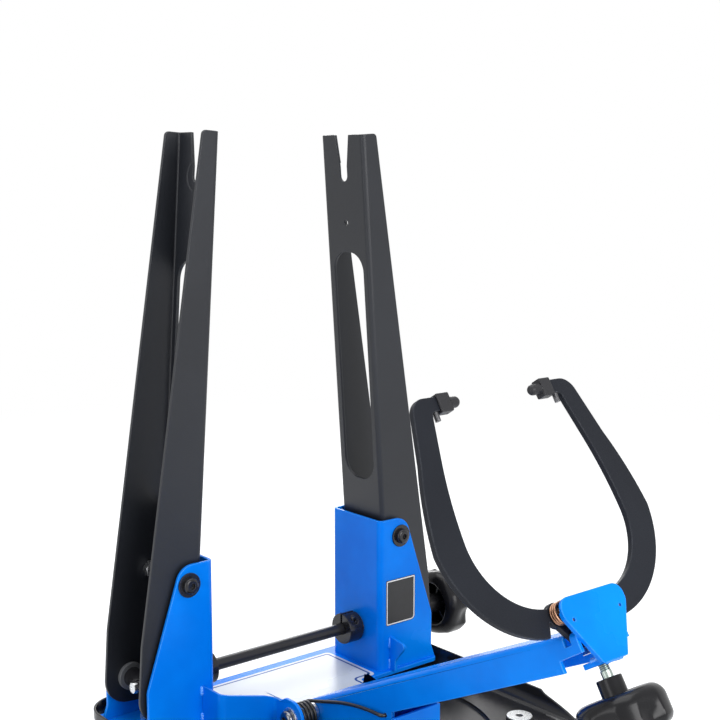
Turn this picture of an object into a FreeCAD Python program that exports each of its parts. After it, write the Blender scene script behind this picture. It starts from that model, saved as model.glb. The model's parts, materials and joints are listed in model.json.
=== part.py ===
import FreeCAD, Part
import math
import os

# Wheel truing stand. Origin on the bench, at the centre of the four foot holes.
# +Z is up, -Y is the mechanic's side, +X the side of the big spindle knob.
# Lengths are in millimetres, angles in degrees.

mm = 1.0
overrun = 5.0 * mm
far = 600.0 * mm
hairline = 0.003 * mm
weld_sink = 0.3 * mm
running_gap = 0.05 * mm
free_gap = 0.3 * mm
full_turn = 360.0
half_turn = 180.0
quarter_turn = 90.0
hex_sides = 6
tiny_share = 0.001

# Width of the stand, and what follows it outward
pivot_x = 117.0 * mm
web_inset = 25.0 * mm
top_overhang = 7.0 * mm
foot_overhang = 41.0 * mm
plate_margin = 5.0 * mm
tray_margin = 5.0 * mm
foot_inset = 34.0 * mm
bolt_inset = 33.0 * mm
nut_outset = 22.0 * mm

# Feet and tray
foot_span_y = 217.0 * mm
foot_radius = 15.0 * mm
foot_taper_share = 0.9
foot_height = 14.0 * mm
foot_neck_radius = 7.0 * mm
foot_lip_radius = 12.0 * mm
foot_lip = 2.0 * mm
sleeve_bore_radius = 3.3 * mm
sleeve_wall = 1.2 * mm
sleeve_flange_radius = 11.3 * mm
sleeve_flange = 1.0 * mm
tray_sheet = 2.0 * mm
tray_past_feet_back = 23.0 * mm
tray_past_feet_front = 68.0 * mm
tray_wall_height = 19.0 * mm
tray_lip_height = 5.5 * mm
tray_corner = 30.0 * mm
tray_bend = 13.0 * mm
tray_drop_from = 80.0 * mm
tray_drop_to = 30.0 * mm
tray_dip_inset = 40.0 * mm
tray_dip = 3.0 * mm
tray_dip_round = 7.5 * mm
dish_radius = 127.0 * mm
dish_centre_y = -33.5 * mm
dish_depth = 3.0 * mm

# Blue base
axle_inset = 40.0 * mm
plate_sheet = 4.0 * mm
plate_lift = 6.0 * mm
plate_to_front = 40.0 * mm
plate_to_back = 47.0 * mm
plate_corner = 6.0 * mm
tongue_left_outset = 18.0 * mm
tongue_right_inset = 12.0 * mm
tongue_reach = 26.0 * mm
spacer_radius = 9.0 * mm
base_bolt_radius = 3.0 * mm
base_bolt_half_y = 16.0 * mm
base_bolt_head_radius = 5.5 * mm
base_bolt_head = 3.3 * mm
base_bolt_proud = 1.5 * mm
base_nut_height = 5.0 * mm
base_nut_flat = 10.0 * mm
label_thickness = 0.4 * mm
label_side_gap = 5.5 * mm
label_notch = 20.5 * mm
label_notch_rise = 3.0 * mm
label_front_rise = 8.0 * mm
label_margin = 11.0 * mm
label_corner = 5.0 * mm
spec_width = 36.0 * mm
spec_height = 44.0 * mm
spec_corner = 1.5 * mm
spec_round_corner = 4.5 * mm
spec_gap = 1.5 * mm
spec_drop = 31.0 * mm

# Brackets
bracket_sheet = 3.0 * mm
bracket_bend = 6.0 * mm
bracket_flare = 4.5 * mm
bracket_flare_height = 12.0 * mm
bracket_shoulder_z = 71.0 * mm
bracket_top_z = 172.0 * mm
bracket_top_round = 16.0 * mm
ear_gap = 3.0 * mm
spindle_z = 63.0 * mm
pivot_rise = 92.0 * mm

# Uprights, measured along the upright from its pivot
lean = 4.0
pivot_inset = 15.8 * mm
seat_rise = 338.0 * mm
top_rise = 36.5 * mm
upright_sheet = 3.0 * mm
upright_half_depth = 30.0 * mm
upright_bend = 4.5 * mm
upright_top_width = 16.5 * mm
upright_foot_width = 54.5 * mm
upright_foot_drop = 50.0 * mm
upright_drop = 117.0 * mm
upright_foot_round = 22.0 * mm
upright_top_round = 4.0 * mm
seat_radius = 5.2 * mm
seat_mouth_half = 9.5 * mm
seat_throat = 8.5 * mm
seat_coin_radius = 13.0 * mm
seat_coin_depth = 0.7 * mm
window_top = 70.0 * mm
window_bottom = 285.0 * mm
window_strip = 9.0 * mm
window_round = 18.0 * mm
dimple_drop = 43.0 * mm
dimple_radius = 2.5 * mm

# Pivot hardware
pivot_screw_radius = 4.0 * mm
pivot_bush_radius = 6.0 * mm
pivot_head_radius = 7.0 * mm
pivot_head_height = 4.6 * mm
head_round_share = 0.6
socket_depth_share = 0.6
pivot_socket_flat = 5.0 * mm
pivot_washer_radius = 10.5 * mm
pivot_washer = 1.6 * mm
pivot_nut_flat = 13.0 * mm
pivot_nut_height = 6.5 * mm
pivot_proud = 2.0 * mm

# Spindle, its nuts and collars
spindle_radius = 5.4 * mm
spindle_past_nut = 10.0 * mm
spindle_in_knob = 20.0 * mm
spindle_tip_radius = 4.0 * mm
spindle_tip = 4.0 * mm
web_bush_radius = 7.4 * mm
web_bush_flange_radius = 12.5 * mm
web_bush_flange = 1.5 * mm
web_bush_proud = 1.0 * mm
web_clear_radius = 8.5 * mm
nut_radius = 8.5 * mm
nut_journal_radius = 6.0 * mm
nut_side_gap = 0.5 * mm
nut_slot_in = 2.6 * mm
nut_slot_out = 3.8 * mm
nut_ring_radius = 12.0 * mm
nut_ring = 4.0 * mm
collar_radius = 14.5 * mm
collar_width = 16.0 * mm
collar_split = 2.0 * mm
collar_screw_radius = 2.0 * mm
collar_screw_head_radius = 3.4 * mm
collar_screw_flat = 3.0 * mm
collar_screw_lift_share = 0.66
collar_screw_half_share = 0.75
collar_pocket_share = 0.3
collar_socket_share = 0.5

# Moulded grips, one on the spindle and one under the caliper head
knob_radius = 33.0 * mm
knob_depth = 30.0 * mm
knob_lobes = 6
knob_scoop_radius = 12.0 * mm
knob_scoop_share = 1.22
knob_edge = 5.0 * mm
knob_wall = 4.0 * mm
knob_floor = 5.0 * mm
knob_hub_radius = 9.3 * mm
knob_hub_reach = 12.0 * mm
knob_rib = 2.6 * mm
knob_rib_drop = 7.0 * mm
knob_past_nut = 38.0 * mm

# Support arm: a channel that rises to the caliper head
arm_pivot_outset = 20.0 * mm
arm_pivot_z = 36.0 * mm
arm_angle = 25.9
arm_sheet = 3.0 * mm
arm_half_width = 25.0 * mm
arm_over = 10.5 * mm
arm_under = 15.0 * mm
arm_bend = 5.0 * mm
arm_tail = 15.5 * mm
arm_tail_round_share = 0.75
arm_box_front = 101.5 * mm
arm_box_rise = -7.0 * mm
arm_slot_gap = 0.8 * mm
arm_notch_end = 20.0 * mm
arm_notch = 11.5 * mm
arm_cheek_top = -10.0 * mm
cross_top_rise = 28.0 * mm
cross_bottom_rise = -6.0 * mm
cross_flange = 40.0 * mm
cross_bend = 5.0 * mm
arm_bolt_radius = 5.0 * mm
arm_bush_radius = 6.5 * mm
arm_spool_radius = 8.0 * mm
arm_bolt_head_radius = 8.0 * mm
arm_bolt_head = 5.5 * mm
arm_socket_flat = 6.0 * mm
arm_washer_radius = 10.0 * mm
arm_nut_washer_radius = 8.0 * mm
arm_washer = 1.5 * mm
arm_nut_flat = 13.0 * mm
arm_nut_height = 8.0 * mm
arm_bolt_proud = 2.0 * mm
arm_ear_x = 50.0 * mm
ear_sheet = 3.0 * mm
ear_radius = 16.0 * mm
right_ear_radius = 8.5 * mm
ear_stand_off = 0.6 * mm
ear_round_share = 0.99
ear_top_round = 8.0 * mm
ear_shoulder_round = 2.0 * mm
right_ear_back = 7.5 * mm
right_ear_shoulder = 4.0 * mm
wall_outset = 14.0 * mm
wall_set_back = 2.0 * mm
wall_high_z = 65.0 * mm
wall_mid_x = 60.0 * mm
wall_mid_z = 52.0 * mm
wall_low_z = 47.0 * mm
wall_blend = 12.0 * mm
fin_outset = 12.0 * mm
fin_reach = 24.0 * mm
fin_high_z = 59.0 * mm
fin_notch_z = 37.0 * mm
fin_foot = 8.0 * mm

# Arm spring
arm_wire = 3.0 * mm
wire_steps = 3
arm_coil_radius = 10.0 * mm
arm_coil_pitch = 3.7 * mm
arm_coil_turns = 4
arm_coil_x = -28.4 * mm
arm_leg_rise = 16.0
arm_leg_straight = 36.0 * mm
arm_leg_bow = 58.0 * mm
arm_hook_radius = 3.5 * mm
arm_hook = 3.0 * mm
arm_foot_drop = 25.0

# Rest screw
rest_inset = 16.0 * mm
rest_radius = 4.0 * mm
rest_flat = 13.0 * mm
rest_head = 5.5 * mm
rest_nut_height = 6.5 * mm
rest_proud = 9.0 * mm

# Caliper head, drawn in its own plane: x across, y behind the plane, z up the plane
caliper_angle = 32.0
caliper_reach = 322.0 * mm
caliper_rise = 12.9 * mm
head_sheet = 2.5 * mm
head_front = 7.0 * mm
head_half_width = 32.2 * mm
head_foot_half = 12.5 * mm
head_top = 21.0 * mm
head_bottom = 28.5 * mm
head_round = 9.0 * mm
head_shoulder = 13.0 * mm
head_foot_round = 2.0 * mm
head_flange = 4.0 * mm
head_hole_radius = 1.3 * mm
nut_plate_sheet = 4.0 * mm
nut_plate_half = 12.8 * mm
nut_plate_shoulder = 6.0 * mm
nut_plate_back = 13.2 * mm
caliper_pivot_x = 26.0 * mm
caliper_pivot_z = 12.0 * mm
caliper_sheet = 5.0 * mm
caliper_mid_y = 7.0 * mm
caliper_bow = 109.0 * mm
caliper_height = 183.0 * mm
caliper_eye_radius = 9.0 * mm
caliper_pin_radius = 4.0 * mm
pin_proud = 1.0 * mm
clip_radius = 7.0 * mm
clip_thickness = 1.2 * mm
clip_mouth_share = 0.6
tail_x = 12.5 * mm
tail_z = -9.0 * mm
tail_radius = 5.0 * mm
tail_root_share = 0.8
finger_drop = 2.5 * mm
finger_height = 11.0 * mm
finger_round = 14.0 * mm
finger_inner_round = 4.0 * mm
tip_reach = 36.5 * mm
tip_nose = 10.0 * mm
tip_cap = 12.0 * mm
tip_cap_wall = 1.5 * mm
tip_cap_edge = 1.2 * mm
tip_depth = 9.0 * mm
tip_height = 14.3 * mm
tip_nose_radius = 4.2 * mm
tip_screw_gap = 3.2 * mm
tip_screw_radius = 1.5 * mm
tip_screw_head_radius = 2.2 * mm
tip_screw_head = 7.0 * mm
wedge_angle = 25.0
wedge_depth = 8.0 * mm
wedge_top_z = 0.0 * mm
wedge_bottom_z = -19.0 * mm
wedge_gap = 0.15 * mm
wedge_round = 0.6 * mm
wedge_bore_radius = 2.4 * mm
wedge_bore_depth = 8.0 * mm
stud_radius = 4.0 * mm
stud_hub_z = -38.0 * mm
stud_in_knob = 22.0 * mm
coil_wire = 1.8 * mm
coil_radius = 7.3 * mm
coil_turns = 2.45
coil_pitch = 2.1 * mm
coil_leg = 7.0 * mm
coil_hole_turn = 254.0
coil_bend_turn = 28.0
coil_bend_share = 1.4

# Outline of a caliper arm, as shares of its bow (x) and of its height (z)
outer_low_shares = ((0.36, -0.008), (0.817, 0.137), (1.0, 0.388))
outer_high_shares = ((1.0, 0.388), (0.945, 0.57), (0.862, 0.727))
outer_corner_share = 0.741
inner_corner_share = 0.605
inner_high_shares = ((0.685, 0.721), (0.738, 0.53), (0.752, 0.393))
inner_low_shares = ((0.752, 0.393), (0.655, 0.222), (0.285, 0.098))

# Worked out from the sizes above
bracket_web_x = pivot_x - web_inset
bracket_top_x = pivot_x + top_overhang
bracket_foot_x = pivot_x + foot_overhang
plate_half_width = bracket_foot_x + plate_margin
tray_half_width = plate_half_width + tray_margin
foot_x = tray_half_width - foot_inset
base_bolt_x = plate_half_width - bolt_inset
tongue_left = bracket_web_x + tongue_left_outset
tongue_right = bracket_web_x - tongue_right_inset
label_half_width = bracket_web_x - label_side_gap
nut_x = pivot_x + nut_outset
spindle_left = nut_x + spindle_past_nut
knob_start = nut_x + knob_past_nut
spindle_right = knob_start + spindle_in_knob
fin_x = bracket_web_x + fin_outset
wall_reach_x = bracket_web_x + wall_outset
tray_back = foot_span_y / 2 + tray_past_feet_back
tray_front = foot_span_y / 2 + tray_past_feet_front
tray_drop_back = tray_front - tray_drop_from
tray_drop_front = tray_front - tray_drop_to
axle_y = foot_span_y / 2 - axle_inset
tray_floor_z = foot_height + tray_sheet
dish_floor_z = tray_floor_z - dish_depth
plate_bottom_z = tray_floor_z + plate_lift
plate_top_z = plate_bottom_z + plate_sheet
plate_front_y = axle_y - plate_to_front
plate_back_y = axle_y + plate_to_back
tongue_y = plate_front_y - tongue_reach
label_notch_y = plate_front_y + label_notch_rise
label_front = tongue_y + label_front_rise
arm_pivot_y = tongue_y - arm_pivot_outset
pivot_z = spindle_z + pivot_rise
ear_inner_y = upright_half_depth + ear_gap
ear_outer_y = ear_inner_y + bracket_sheet
bracket_front_y = axle_y - ear_outer_y
wall_front_y = tongue_y + wall_set_back
wall_back_y = wall_front_y + ear_sheet
ear_inside_x = arm_ear_x - ear_sheet
cross_front_y = arm_pivot_y - arm_box_front
rest_y = cross_front_y + rest_inset
cross_top_z = arm_pivot_z + cross_top_rise
cross_bottom_z = arm_pivot_z + cross_bottom_rise
head_back = -head_front + head_sheet
caliper_front_y = caliper_mid_y - caliper_sheet / 2
caliper_back_y = caliper_mid_y + caliper_sheet / 2
finger_high = caliper_height - finger_drop
finger_low = finger_high - finger_height
tip_mid_z = (finger_low + finger_high) / 2
tip_cap_start = tip_reach + tip_nose
tip_cap_end = tip_cap_start + tip_cap
finger_end = tip_cap_start + tip_cap_wall
tip_screw_x = tip_cap_end + tip_screw_gap
collar_centre_x = bracket_web_x - web_bush_flange - free_gap - collar_width / 2


def vec(x, y, z):
    return FreeCAD.Vector(x, y, z)


axis_x = vec(1, 0, 0)
axis_y = vec(0, 1, 0)
axis_z = vec(0, 0, 1)


def spot(across, along, plane, level):
    """A point of a flat outline: the plane is named by its normal axis."""
    if plane == "x":
        return vec(level, across, along)
    if plane == "y":
        return vec(across, level, along)
    return vec(across, along, level)


def reach(plane, length):
    """The vector that leads away from an outline's plane."""
    return {"x": axis_x, "y": axis_y, "z": axis_z}[plane] * length


def rounded_wire(points, plane, level):
    """Closed outline through points (a, b) or (a, b, radius of the corner)."""
    corners = [spot(p[0], p[1], plane, level) for p in points]
    radii = [p[2] if len(p) > 2 else 0.0 for p in points]
    count = len(corners)
    trims = []
    for i in range(count):
        back = (corners[i - 1] - corners[i]).normalize()
        ahead = (corners[(i + 1) % count] - corners[i]).normalize()
        half_turn = back.getAngle(ahead) / 2
        cut = radii[i] / math.tan(half_turn) if radii[i] > 0 else 0.0
        bisector = (back + ahead).normalize() if radii[i] > 0 else axis_z
        to_mid = radii[i] / math.sin(half_turn) - radii[i]
        middle = corners[i] + bisector * to_mid
        trims.append((corners[i] + back * cut, middle, corners[i] + ahead * cut))
    edges = []
    for i in range(count):
        start = trims[i][2]
        end = trims[(i + 1) % count][0]
        if radii[i] > 0:
            edges.append(Part.Arc(*trims[i]).toShape())
        if start.distanceToPoint(end) > hairline:
            edges.append(Part.LineSegment(start, end).toShape())
    return Part.Wire(edges)


def slab(points, plane, low, high):
    """A flat plate with a rounded outline, from one level to another."""
    return Part.Face(rounded_wire(points, plane, low)).extrude(reach(plane, high - low))


def box(x0, x1, y0, y1, z0, z1):
    return Part.makeBox(x1 - x0, y1 - y0, z1 - z0, vec(x0, y0, z0))


def rod(radius, start, end):
    """A round bar from one point to another."""
    along = end - start
    return Part.makeCylinder(radius, along.Length, start, along)


def ring(outer, inner, start, end):
    return rod(outer, start, end).cut(rod(inner, start, end))


def hexagon(flat, start, end, plane):
    """A hexagonal bar; its width across flats is given."""
    step = math.radians(full_turn / hex_sides)
    across = flat / math.cos(step / 2) / 2
    turns = [step * i + step / 2 for i in range(hex_sides)]
    centre = {"x": (start.y, start.z), "y": (start.x, start.z), "z": (start.x, start.y)}[plane]
    points = [(centre[0] + across * math.cos(t), centre[1] + across * math.sin(t)) for t in turns]
    levels = {"x": (start.x, end.x), "y": (start.y, end.y), "z": (start.z, end.z)}[plane]
    return slab(points, plane, *levels)


def mirrored(shape):
    return shape.mirror(vec(0, 0, 0), axis_x)


def joined(pieces):
    """One solid out of pieces that touch or overlap."""
    return pieces[0].fuse(pieces[1:]).removeSplitter() if len(pieces) > 1 else pieces[0]


def group(pieces):
    return Part.makeCompound(pieces)


def save(node, shape):
    shape.exportStep("parts/" + node + ".step")
    solids = shape.Solids
    volume = sum(s.Volume for s in solids)
    print(node, "solids", len(solids), "valid", shape.isValid(), "volume", round(volume, 1))


def four(across, half_y, middle_y):
    return [(sx * across, middle_y + sy * half_y) for sx in (-1, 1) for sy in (-1, 1)]


# Feet and tray

foot_places = four(foot_x, foot_span_y / 2, 0)


def make_tray():
    """A pressed pan with rounded bends, a low front lip and a round dish in its floor."""
    def pan(inset, floor, top):
        side = tray_half_width - inset
        r = tray_corner - inset
        front = -tray_front + inset
        back = tray_back - inset
        corners = [(-side, front, r), (side, front, r), (side, back, r), (-side, back, r)]
        body = slab(corners, "z", floor, top)
        low = [e for e in body.Edges if e.BoundBox.ZMax < floor + weld_sink]
        return body.makeFillet(tray_bend - inset, low)

    top = foot_height + tray_wall_height
    shell = pan(0, foot_height, top).cut(pan(tray_sheet, tray_floor_z, top + tray_bend * 2))
    lip = foot_height + tray_lip_height
    drop = [
        (-tray_front - overrun, lip),
        (-tray_drop_front, lip, tray_wall_height),
        (-tray_drop_back, top, tray_wall_height),
        (-tray_drop_back, top + overrun),
        (-tray_front - overrun, top + overrun),
    ]
    shell = shell.cut(slab(drop, "x", -tray_half_width - overrun, tray_half_width + overrun))
    half = tray_half_width - tray_dip_inset
    dip_z = foot_height + tray_dip
    r = tray_dip_round
    dip = [(-half - r, top, r), (-half, top, r), (-half, dip_z, r), (half, dip_z, r), (half, top, r)]
    dip += [(half + r, top, r), (half + r, top + overrun), (-half - r, top + overrun)]
    shell = shell.cut(slab(dip, "y", tray_back - tray_bend, tray_back + overrun))
    middle = vec(0, dish_centre_y, 0)
    under = middle + axis_z * (foot_height - dish_depth)
    shell = shell.fuse(rod(dish_radius + tray_sheet, under, middle + axis_z * (foot_height + weld_sink)))
    hollow = middle + axis_z * dish_floor_z
    shell = shell.cut(rod(dish_radius, hollow, middle + axis_z * (tray_floor_z + overrun)))
    for x, y in foot_places:
        shell = shell.cut(rod(foot_neck_radius, vec(x, y, 0), vec(x, y, tray_floor_z + overrun)))
    for x, y in four(base_bolt_x, base_bolt_half_y, axle_y):
        shell = shell.cut(rod(base_bolt_radius, vec(x, y, 0), vec(x, y, tray_floor_z + overrun)))
    return shell.removeSplitter()


def make_feet():
    feet = []
    for x, y in foot_places:
        at = vec(x, y, 0)
        low = Part.makeCone(foot_radius, foot_radius * foot_taper_share, foot_height, at, axis_z)
        neck = rod(foot_neck_radius, at, at + axis_z * (tray_floor_z + foot_lip))
        lip = rod(foot_lip_radius, at + axis_z * tray_floor_z, at + axis_z * (tray_floor_z + foot_lip))
        bore = rod(sleeve_bore_radius + sleeve_wall, at - axis_z * overrun, at + axis_z * far)
        feet.append(joined([low, neck, lip]).cut(bore))
    return group(feet)


def make_sleeves():
    sleeves = []
    for x, y in foot_places:
        at = vec(x, y, 0)
        top = vec(x, y, tray_floor_z + foot_lip)
        tube = rod(sleeve_bore_radius + sleeve_wall, at, top)
        flange = rod(sleeve_flange_radius, top, top + axis_z * sleeve_flange)
        bore = rod(sleeve_bore_radius, at - axis_z * overrun, top + axis_z * overrun)
        sleeves.append(joined([tube, flange]).cut(bore))
    return group(sleeves)


# Blue base

def make_base_plate():
    """The floor plate, with a tongue in front that carries the arm."""
    side, y0, y1, r = plate_half_width, plate_front_y, plate_back_y, plate_corner
    plate = slab([
        (-side, y0, r), (-tongue_left, y0, r / 2), (-tongue_left, tongue_y, r), (tongue_right, tongue_y, r),
        (tongue_right, y0, r / 2), (side, y0, r), (side, y1, r), (-side, y1, r),
    ], "z", plate_bottom_z, plate_top_z)
    for x, y in four(base_bolt_x, base_bolt_half_y, axle_y):
        plate = plate.cut(rod(base_bolt_radius, vec(x, y, 0), vec(x, y, plate_top_z + overrun)))
    return plate


def make_spacers():
    rings = []
    for x, y in four(base_bolt_x, base_bolt_half_y, axle_y):
        low = vec(x, y, tray_floor_z)
        rings.append(ring(spacer_radius, base_bolt_radius, low, vec(x, y, plate_bottom_z)))
    return group(rings)


def make_base_bolts():
    bolts = []
    for x, y in four(base_bolt_x, base_bolt_half_y, axle_y):
        head = rod(base_bolt_head_radius, vec(x, y, foot_height - base_bolt_head), vec(x, y, foot_height))
        top = plate_top_z + base_nut_height + base_bolt_proud
        shank = rod(base_bolt_radius, vec(x, y, foot_height), vec(x, y, top))
        bolts.append(joined([head, shank]))
    return group(bolts)


def make_base_nuts():
    nuts = []
    for x, y in four(base_bolt_x, base_bolt_half_y, axle_y):
        low = vec(x, y, plate_top_z)
        top = vec(x, y, plate_top_z + base_nut_height)
        nuts.append(hexagon(base_nut_flat, low, top, "z").cut(rod(base_bolt_radius, low, top)))
    return group(nuts)


def make_floor_label():
    """The floor panel, stepped in beside the brackets."""
    side, r = label_half_width, label_corner
    step = side - label_notch
    back = plate_back_y - label_margin
    outline = [
        (-step, label_front, r), (step, label_front, r), (step, label_notch_y, r),
        (side, label_notch_y, r), (side, back, r), (-side, back, r), (-side, label_notch_y, r),
        (-step, label_notch_y, r),
    ]
    return slab(outline, "z", plate_top_z, plate_top_z + label_thickness)


def channel_section(face_x, half_depth, sheet, bend, far_x):
    """Section of a channel that opens outward (+X), seen from above and centred on the axle plane."""
    y0, y1 = axle_y - half_depth, axle_y + half_depth
    inner = bend - sheet
    return [
        (far_x, y0), (far_x, y0 + sheet), (face_x + sheet, y0 + sheet, inner),
        (face_x + sheet, y1 - sheet, inner), (far_x, y1 - sheet), (far_x, y1),
        (face_x, y1, bend), (face_x, y0, bend),
    ]


def make_bracket():
    """The right bracket: a channel with two ears that carry an upright."""
    edge_x = bracket_foot_x + bracket_flare
    outline = [
        (bracket_web_x, plate_top_z), (bracket_web_x, bracket_top_z),
        (bracket_top_x, bracket_top_z, bracket_top_round),
        (bracket_foot_x, bracket_shoulder_z, bracket_top_round),
        (bracket_foot_x, plate_top_z + bracket_flare_height, bracket_flare_height),
        (edge_x, plate_top_z),
    ]
    section = channel_section(bracket_web_x, ear_outer_y, bracket_sheet, bracket_bend, edge_x)
    wall = slab(section, "z", plate_top_z, bracket_top_z)
    wall = wall.common(slab(outline, "y", axle_y - ear_outer_y, axle_y + ear_outer_y))
    across = axis_y * (ear_outer_y + overrun)
    pivot = vec(pivot_x, axle_y, pivot_z)
    wall = wall.cut(rod(pivot_screw_radius, pivot - across, pivot + across))
    hole = vec(bracket_web_x - overrun, axle_y, spindle_z)
    return wall.cut(rod(web_bush_radius, hole, hole + axis_x * (bracket_sheet + overrun * 2)))


def make_right_fin():
    """A notched stiffener on the right bracket's front ear."""
    y0 = bracket_front_y
    outline = [
        (y0, plate_top_z), (y0, fin_high_z), (y0 - fin_reach, fin_high_z - fin_foot / 2, fin_foot / 2),
        (y0 - fin_foot, fin_notch_z, fin_foot), (y0 - fin_foot, plate_top_z),
    ]
    return slab(outline, "x", fin_x, fin_x + bracket_sheet)


def ear_lug(r, back, shoulder_z, shoulder_y, near_x, far_x):
    """An ear that stands on the tongue and hangs in front of it, round about the arm's pivot."""
    round_end = r * ear_round_share
    top = arm_pivot_z + r
    bottom = arm_pivot_z - r
    step = tongue_y - ear_stand_off
    outline = [
        (back, plate_top_z), (back, shoulder_z), (shoulder_y, shoulder_z, ear_shoulder_round),
        (arm_pivot_y + r / 2, top, ear_top_round), (arm_pivot_y - r, top, round_end),
        (arm_pivot_y - r, bottom, round_end), (step, bottom, ear_sheet), (step, plate_top_z),
    ]
    lug = slab(outline, "x", near_x, far_x)
    hole = vec(near_x - overrun, arm_pivot_y, arm_pivot_z)
    return lug.cut(rod(arm_bolt_radius, hole, hole + axis_x * (far_x - near_x + overrun * 2)))


def make_pivot_wall():
    """One bent sheet: a fin on the left bracket, a low wall along the tongue, and the arm's left ear."""
    t, bend = ear_sheet, bracket_bend
    x_fin, x_ear = -wall_reach_x, -ear_inside_x
    section = [
        (x_fin, bracket_front_y), (x_fin, wall_front_y, bend), (x_ear - t, wall_front_y, bend - t),
        (x_ear - t, wall_front_y - bend), (x_ear, wall_front_y - bend), (x_ear, wall_back_y, bend),
        (x_fin + t, wall_back_y, bend - t), (x_fin + t, bracket_front_y),
    ]
    wall = slab(section, "z", plate_top_z, wall_high_z + t)
    front = [
        (x_fin, plate_top_z), (x_fin, wall_high_z), (x_fin + bend + t, wall_high_z - t, wall_blend),
        (-wall_mid_x, wall_mid_z, wall_blend * 2), (x_ear, wall_low_z), (x_ear, plate_top_z),
    ]
    wall = wall.common(slab(front, "y", wall_front_y - bend, bracket_front_y))
    ear = ear_lug(ear_radius, wall_front_y, wall_low_z, wall_front_y - bend, x_ear - t, x_ear)
    return joined([wall, ear])


def make_right_ear():
    """The arm's right ear, a plain lug welded on the tongue."""
    back = tongue_y + right_ear_back
    shoulder_z = plate_top_z + ear_sheet
    return ear_lug(right_ear_radius, back, shoulder_z, back - right_ear_shoulder, ear_inside_x, arm_ear_x)


def make_spec_plate():
    """The small bare plate on the right bracket's front ear; one corner is rounder."""
    x0 = bracket_web_x + bracket_bend + spec_gap
    x1 = x0 + spec_width
    z1 = pivot_z - pivot_washer_radius - spec_drop
    z0 = z1 - spec_height
    r = spec_corner
    outline = [(x0, z0, r), (x1, z0, spec_round_corner), (x1, z1, r), (x0, z1, r)]
    return slab(outline, "y", bracket_front_y - label_thickness, bracket_front_y)


# Uprights

def make_upright():
    """The right upright, drawn with its web vertical and its pivot at the origin, then leaned in."""
    x0 = -pivot_inset
    top = seat_rise + top_rise
    far = x0 + upright_foot_width
    y0 = -upright_half_depth
    t = upright_sheet
    inner = upright_bend - t
    section = [
        (far, y0), (far, y0 + t), (x0 + t, y0 + t, inner), (x0 + t, -y0 - t, inner),
        (far, -y0 - t), (far, -y0), (x0, -y0, upright_bend), (x0, y0, upright_bend),
    ]
    body = slab(section, "z", -upright_drop, top)
    profile = [
        (x0, -upright_drop), (x0, top), (x0 + upright_top_width, top, upright_top_round),
        (far, -upright_foot_drop, upright_foot_round), (far, -upright_drop, upright_foot_round),
    ]
    body = body.common(slab(profile, "y", y0, -y0))
    body = body.cut(seat_cut(x0, seat_rise, top))
    half = upright_half_depth - window_strip
    low = seat_rise - window_bottom
    high = seat_rise - window_top
    r = window_round
    window = [(-half, low, r), (half, low, r), (half, high, r), (-half, high, r)]
    body = body.cut(slab(window, "x", x0 - overrun, x0 + t + overrun))
    dimple = vec(x0 - overrun, 0, seat_rise - dimple_drop)
    body = body.cut(rod(dimple_radius, dimple, dimple + axis_x * overrun * 2))
    across = axis_y * (upright_half_depth + overrun)
    body = body.cut(rod(pivot_bush_radius + running_gap, across * -1, across))
    body.rotate(vec(0, 0, 0), axis_y, -lean)
    body.translate(vec(pivot_x, axle_y, pivot_z))
    return body.cut(nut_slots()).cut(spindle_passage())


def seat_cut(x0, seat, top):
    """The open slot that takes the axle, with a coined ring round its seat."""
    mouth = [
        (-seat_radius, seat), (seat_radius, seat), (seat_radius, seat + seat_throat),
        (seat_mouth_half, top), (seat_mouth_half, top + overrun), (-seat_mouth_half, top + overrun),
        (-seat_mouth_half, top), (-seat_radius, seat + seat_throat),
    ]
    at = vec(x0 - overrun, 0, seat)
    through = slab(mouth, "x", x0 - overrun, x0 + upright_sheet + overrun)
    through = through.fuse(rod(seat_radius, at, at + axis_x * (upright_sheet + overrun * 2)))
    coin = vec(x0 + upright_sheet - seat_coin_depth, 0, seat)
    return through.fuse(rod(seat_coin_radius, coin, coin + axis_x * overrun))


def nut_slots():
    """Slots through both flanges, along the line from the pivot, in which the nut's journals ride."""
    r = nut_journal_radius + nut_side_gap
    nut = vec(nut_x, axle_y, spindle_z)
    across = axis_y * (upright_half_depth + overrun)
    away = (nut - vec(pivot_x, axle_y, pivot_z)).normalize()
    side = vec(-away.z, 0, away.x) * r
    inner = nut - away * nut_slot_in
    outer = nut + away * nut_slot_out
    corners = [(p.x, p.z) for p in (inner - side, inner + side, outer + side, outer - side)]
    middle = slab(corners, "y", axle_y - across.y, axle_y + across.y)
    ends = [rod(r, at - across, at + across) for at in (inner, outer)]
    half_core = axis_y * (upright_half_depth - upright_sheet * 2)
    core = rod(upright_foot_width, nut - half_core, nut + half_core)
    return joined([middle] + ends).cut(core)


def spindle_passage():
    start = vec(bracket_web_x, axle_y, spindle_z)
    return rod(web_clear_radius, start, vec(nut_x - nut_radius, axle_y, spindle_z))


# Pivot hardware, one set at each ear

def rim_of(bar, end):
    """The round edge of a bar at one of its ends."""
    circles = [e for e in bar.Edges if e.Curve.TypeId == "Part::GeomCircle"]
    return [e for e in circles if e.Curve.Center.distanceToPoint(end) < weld_sink]


def pivot_sites(side_x):
    return [(vec(side_x * pivot_x, axle_y, pivot_z), side) for side in (-1, 1)]


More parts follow.
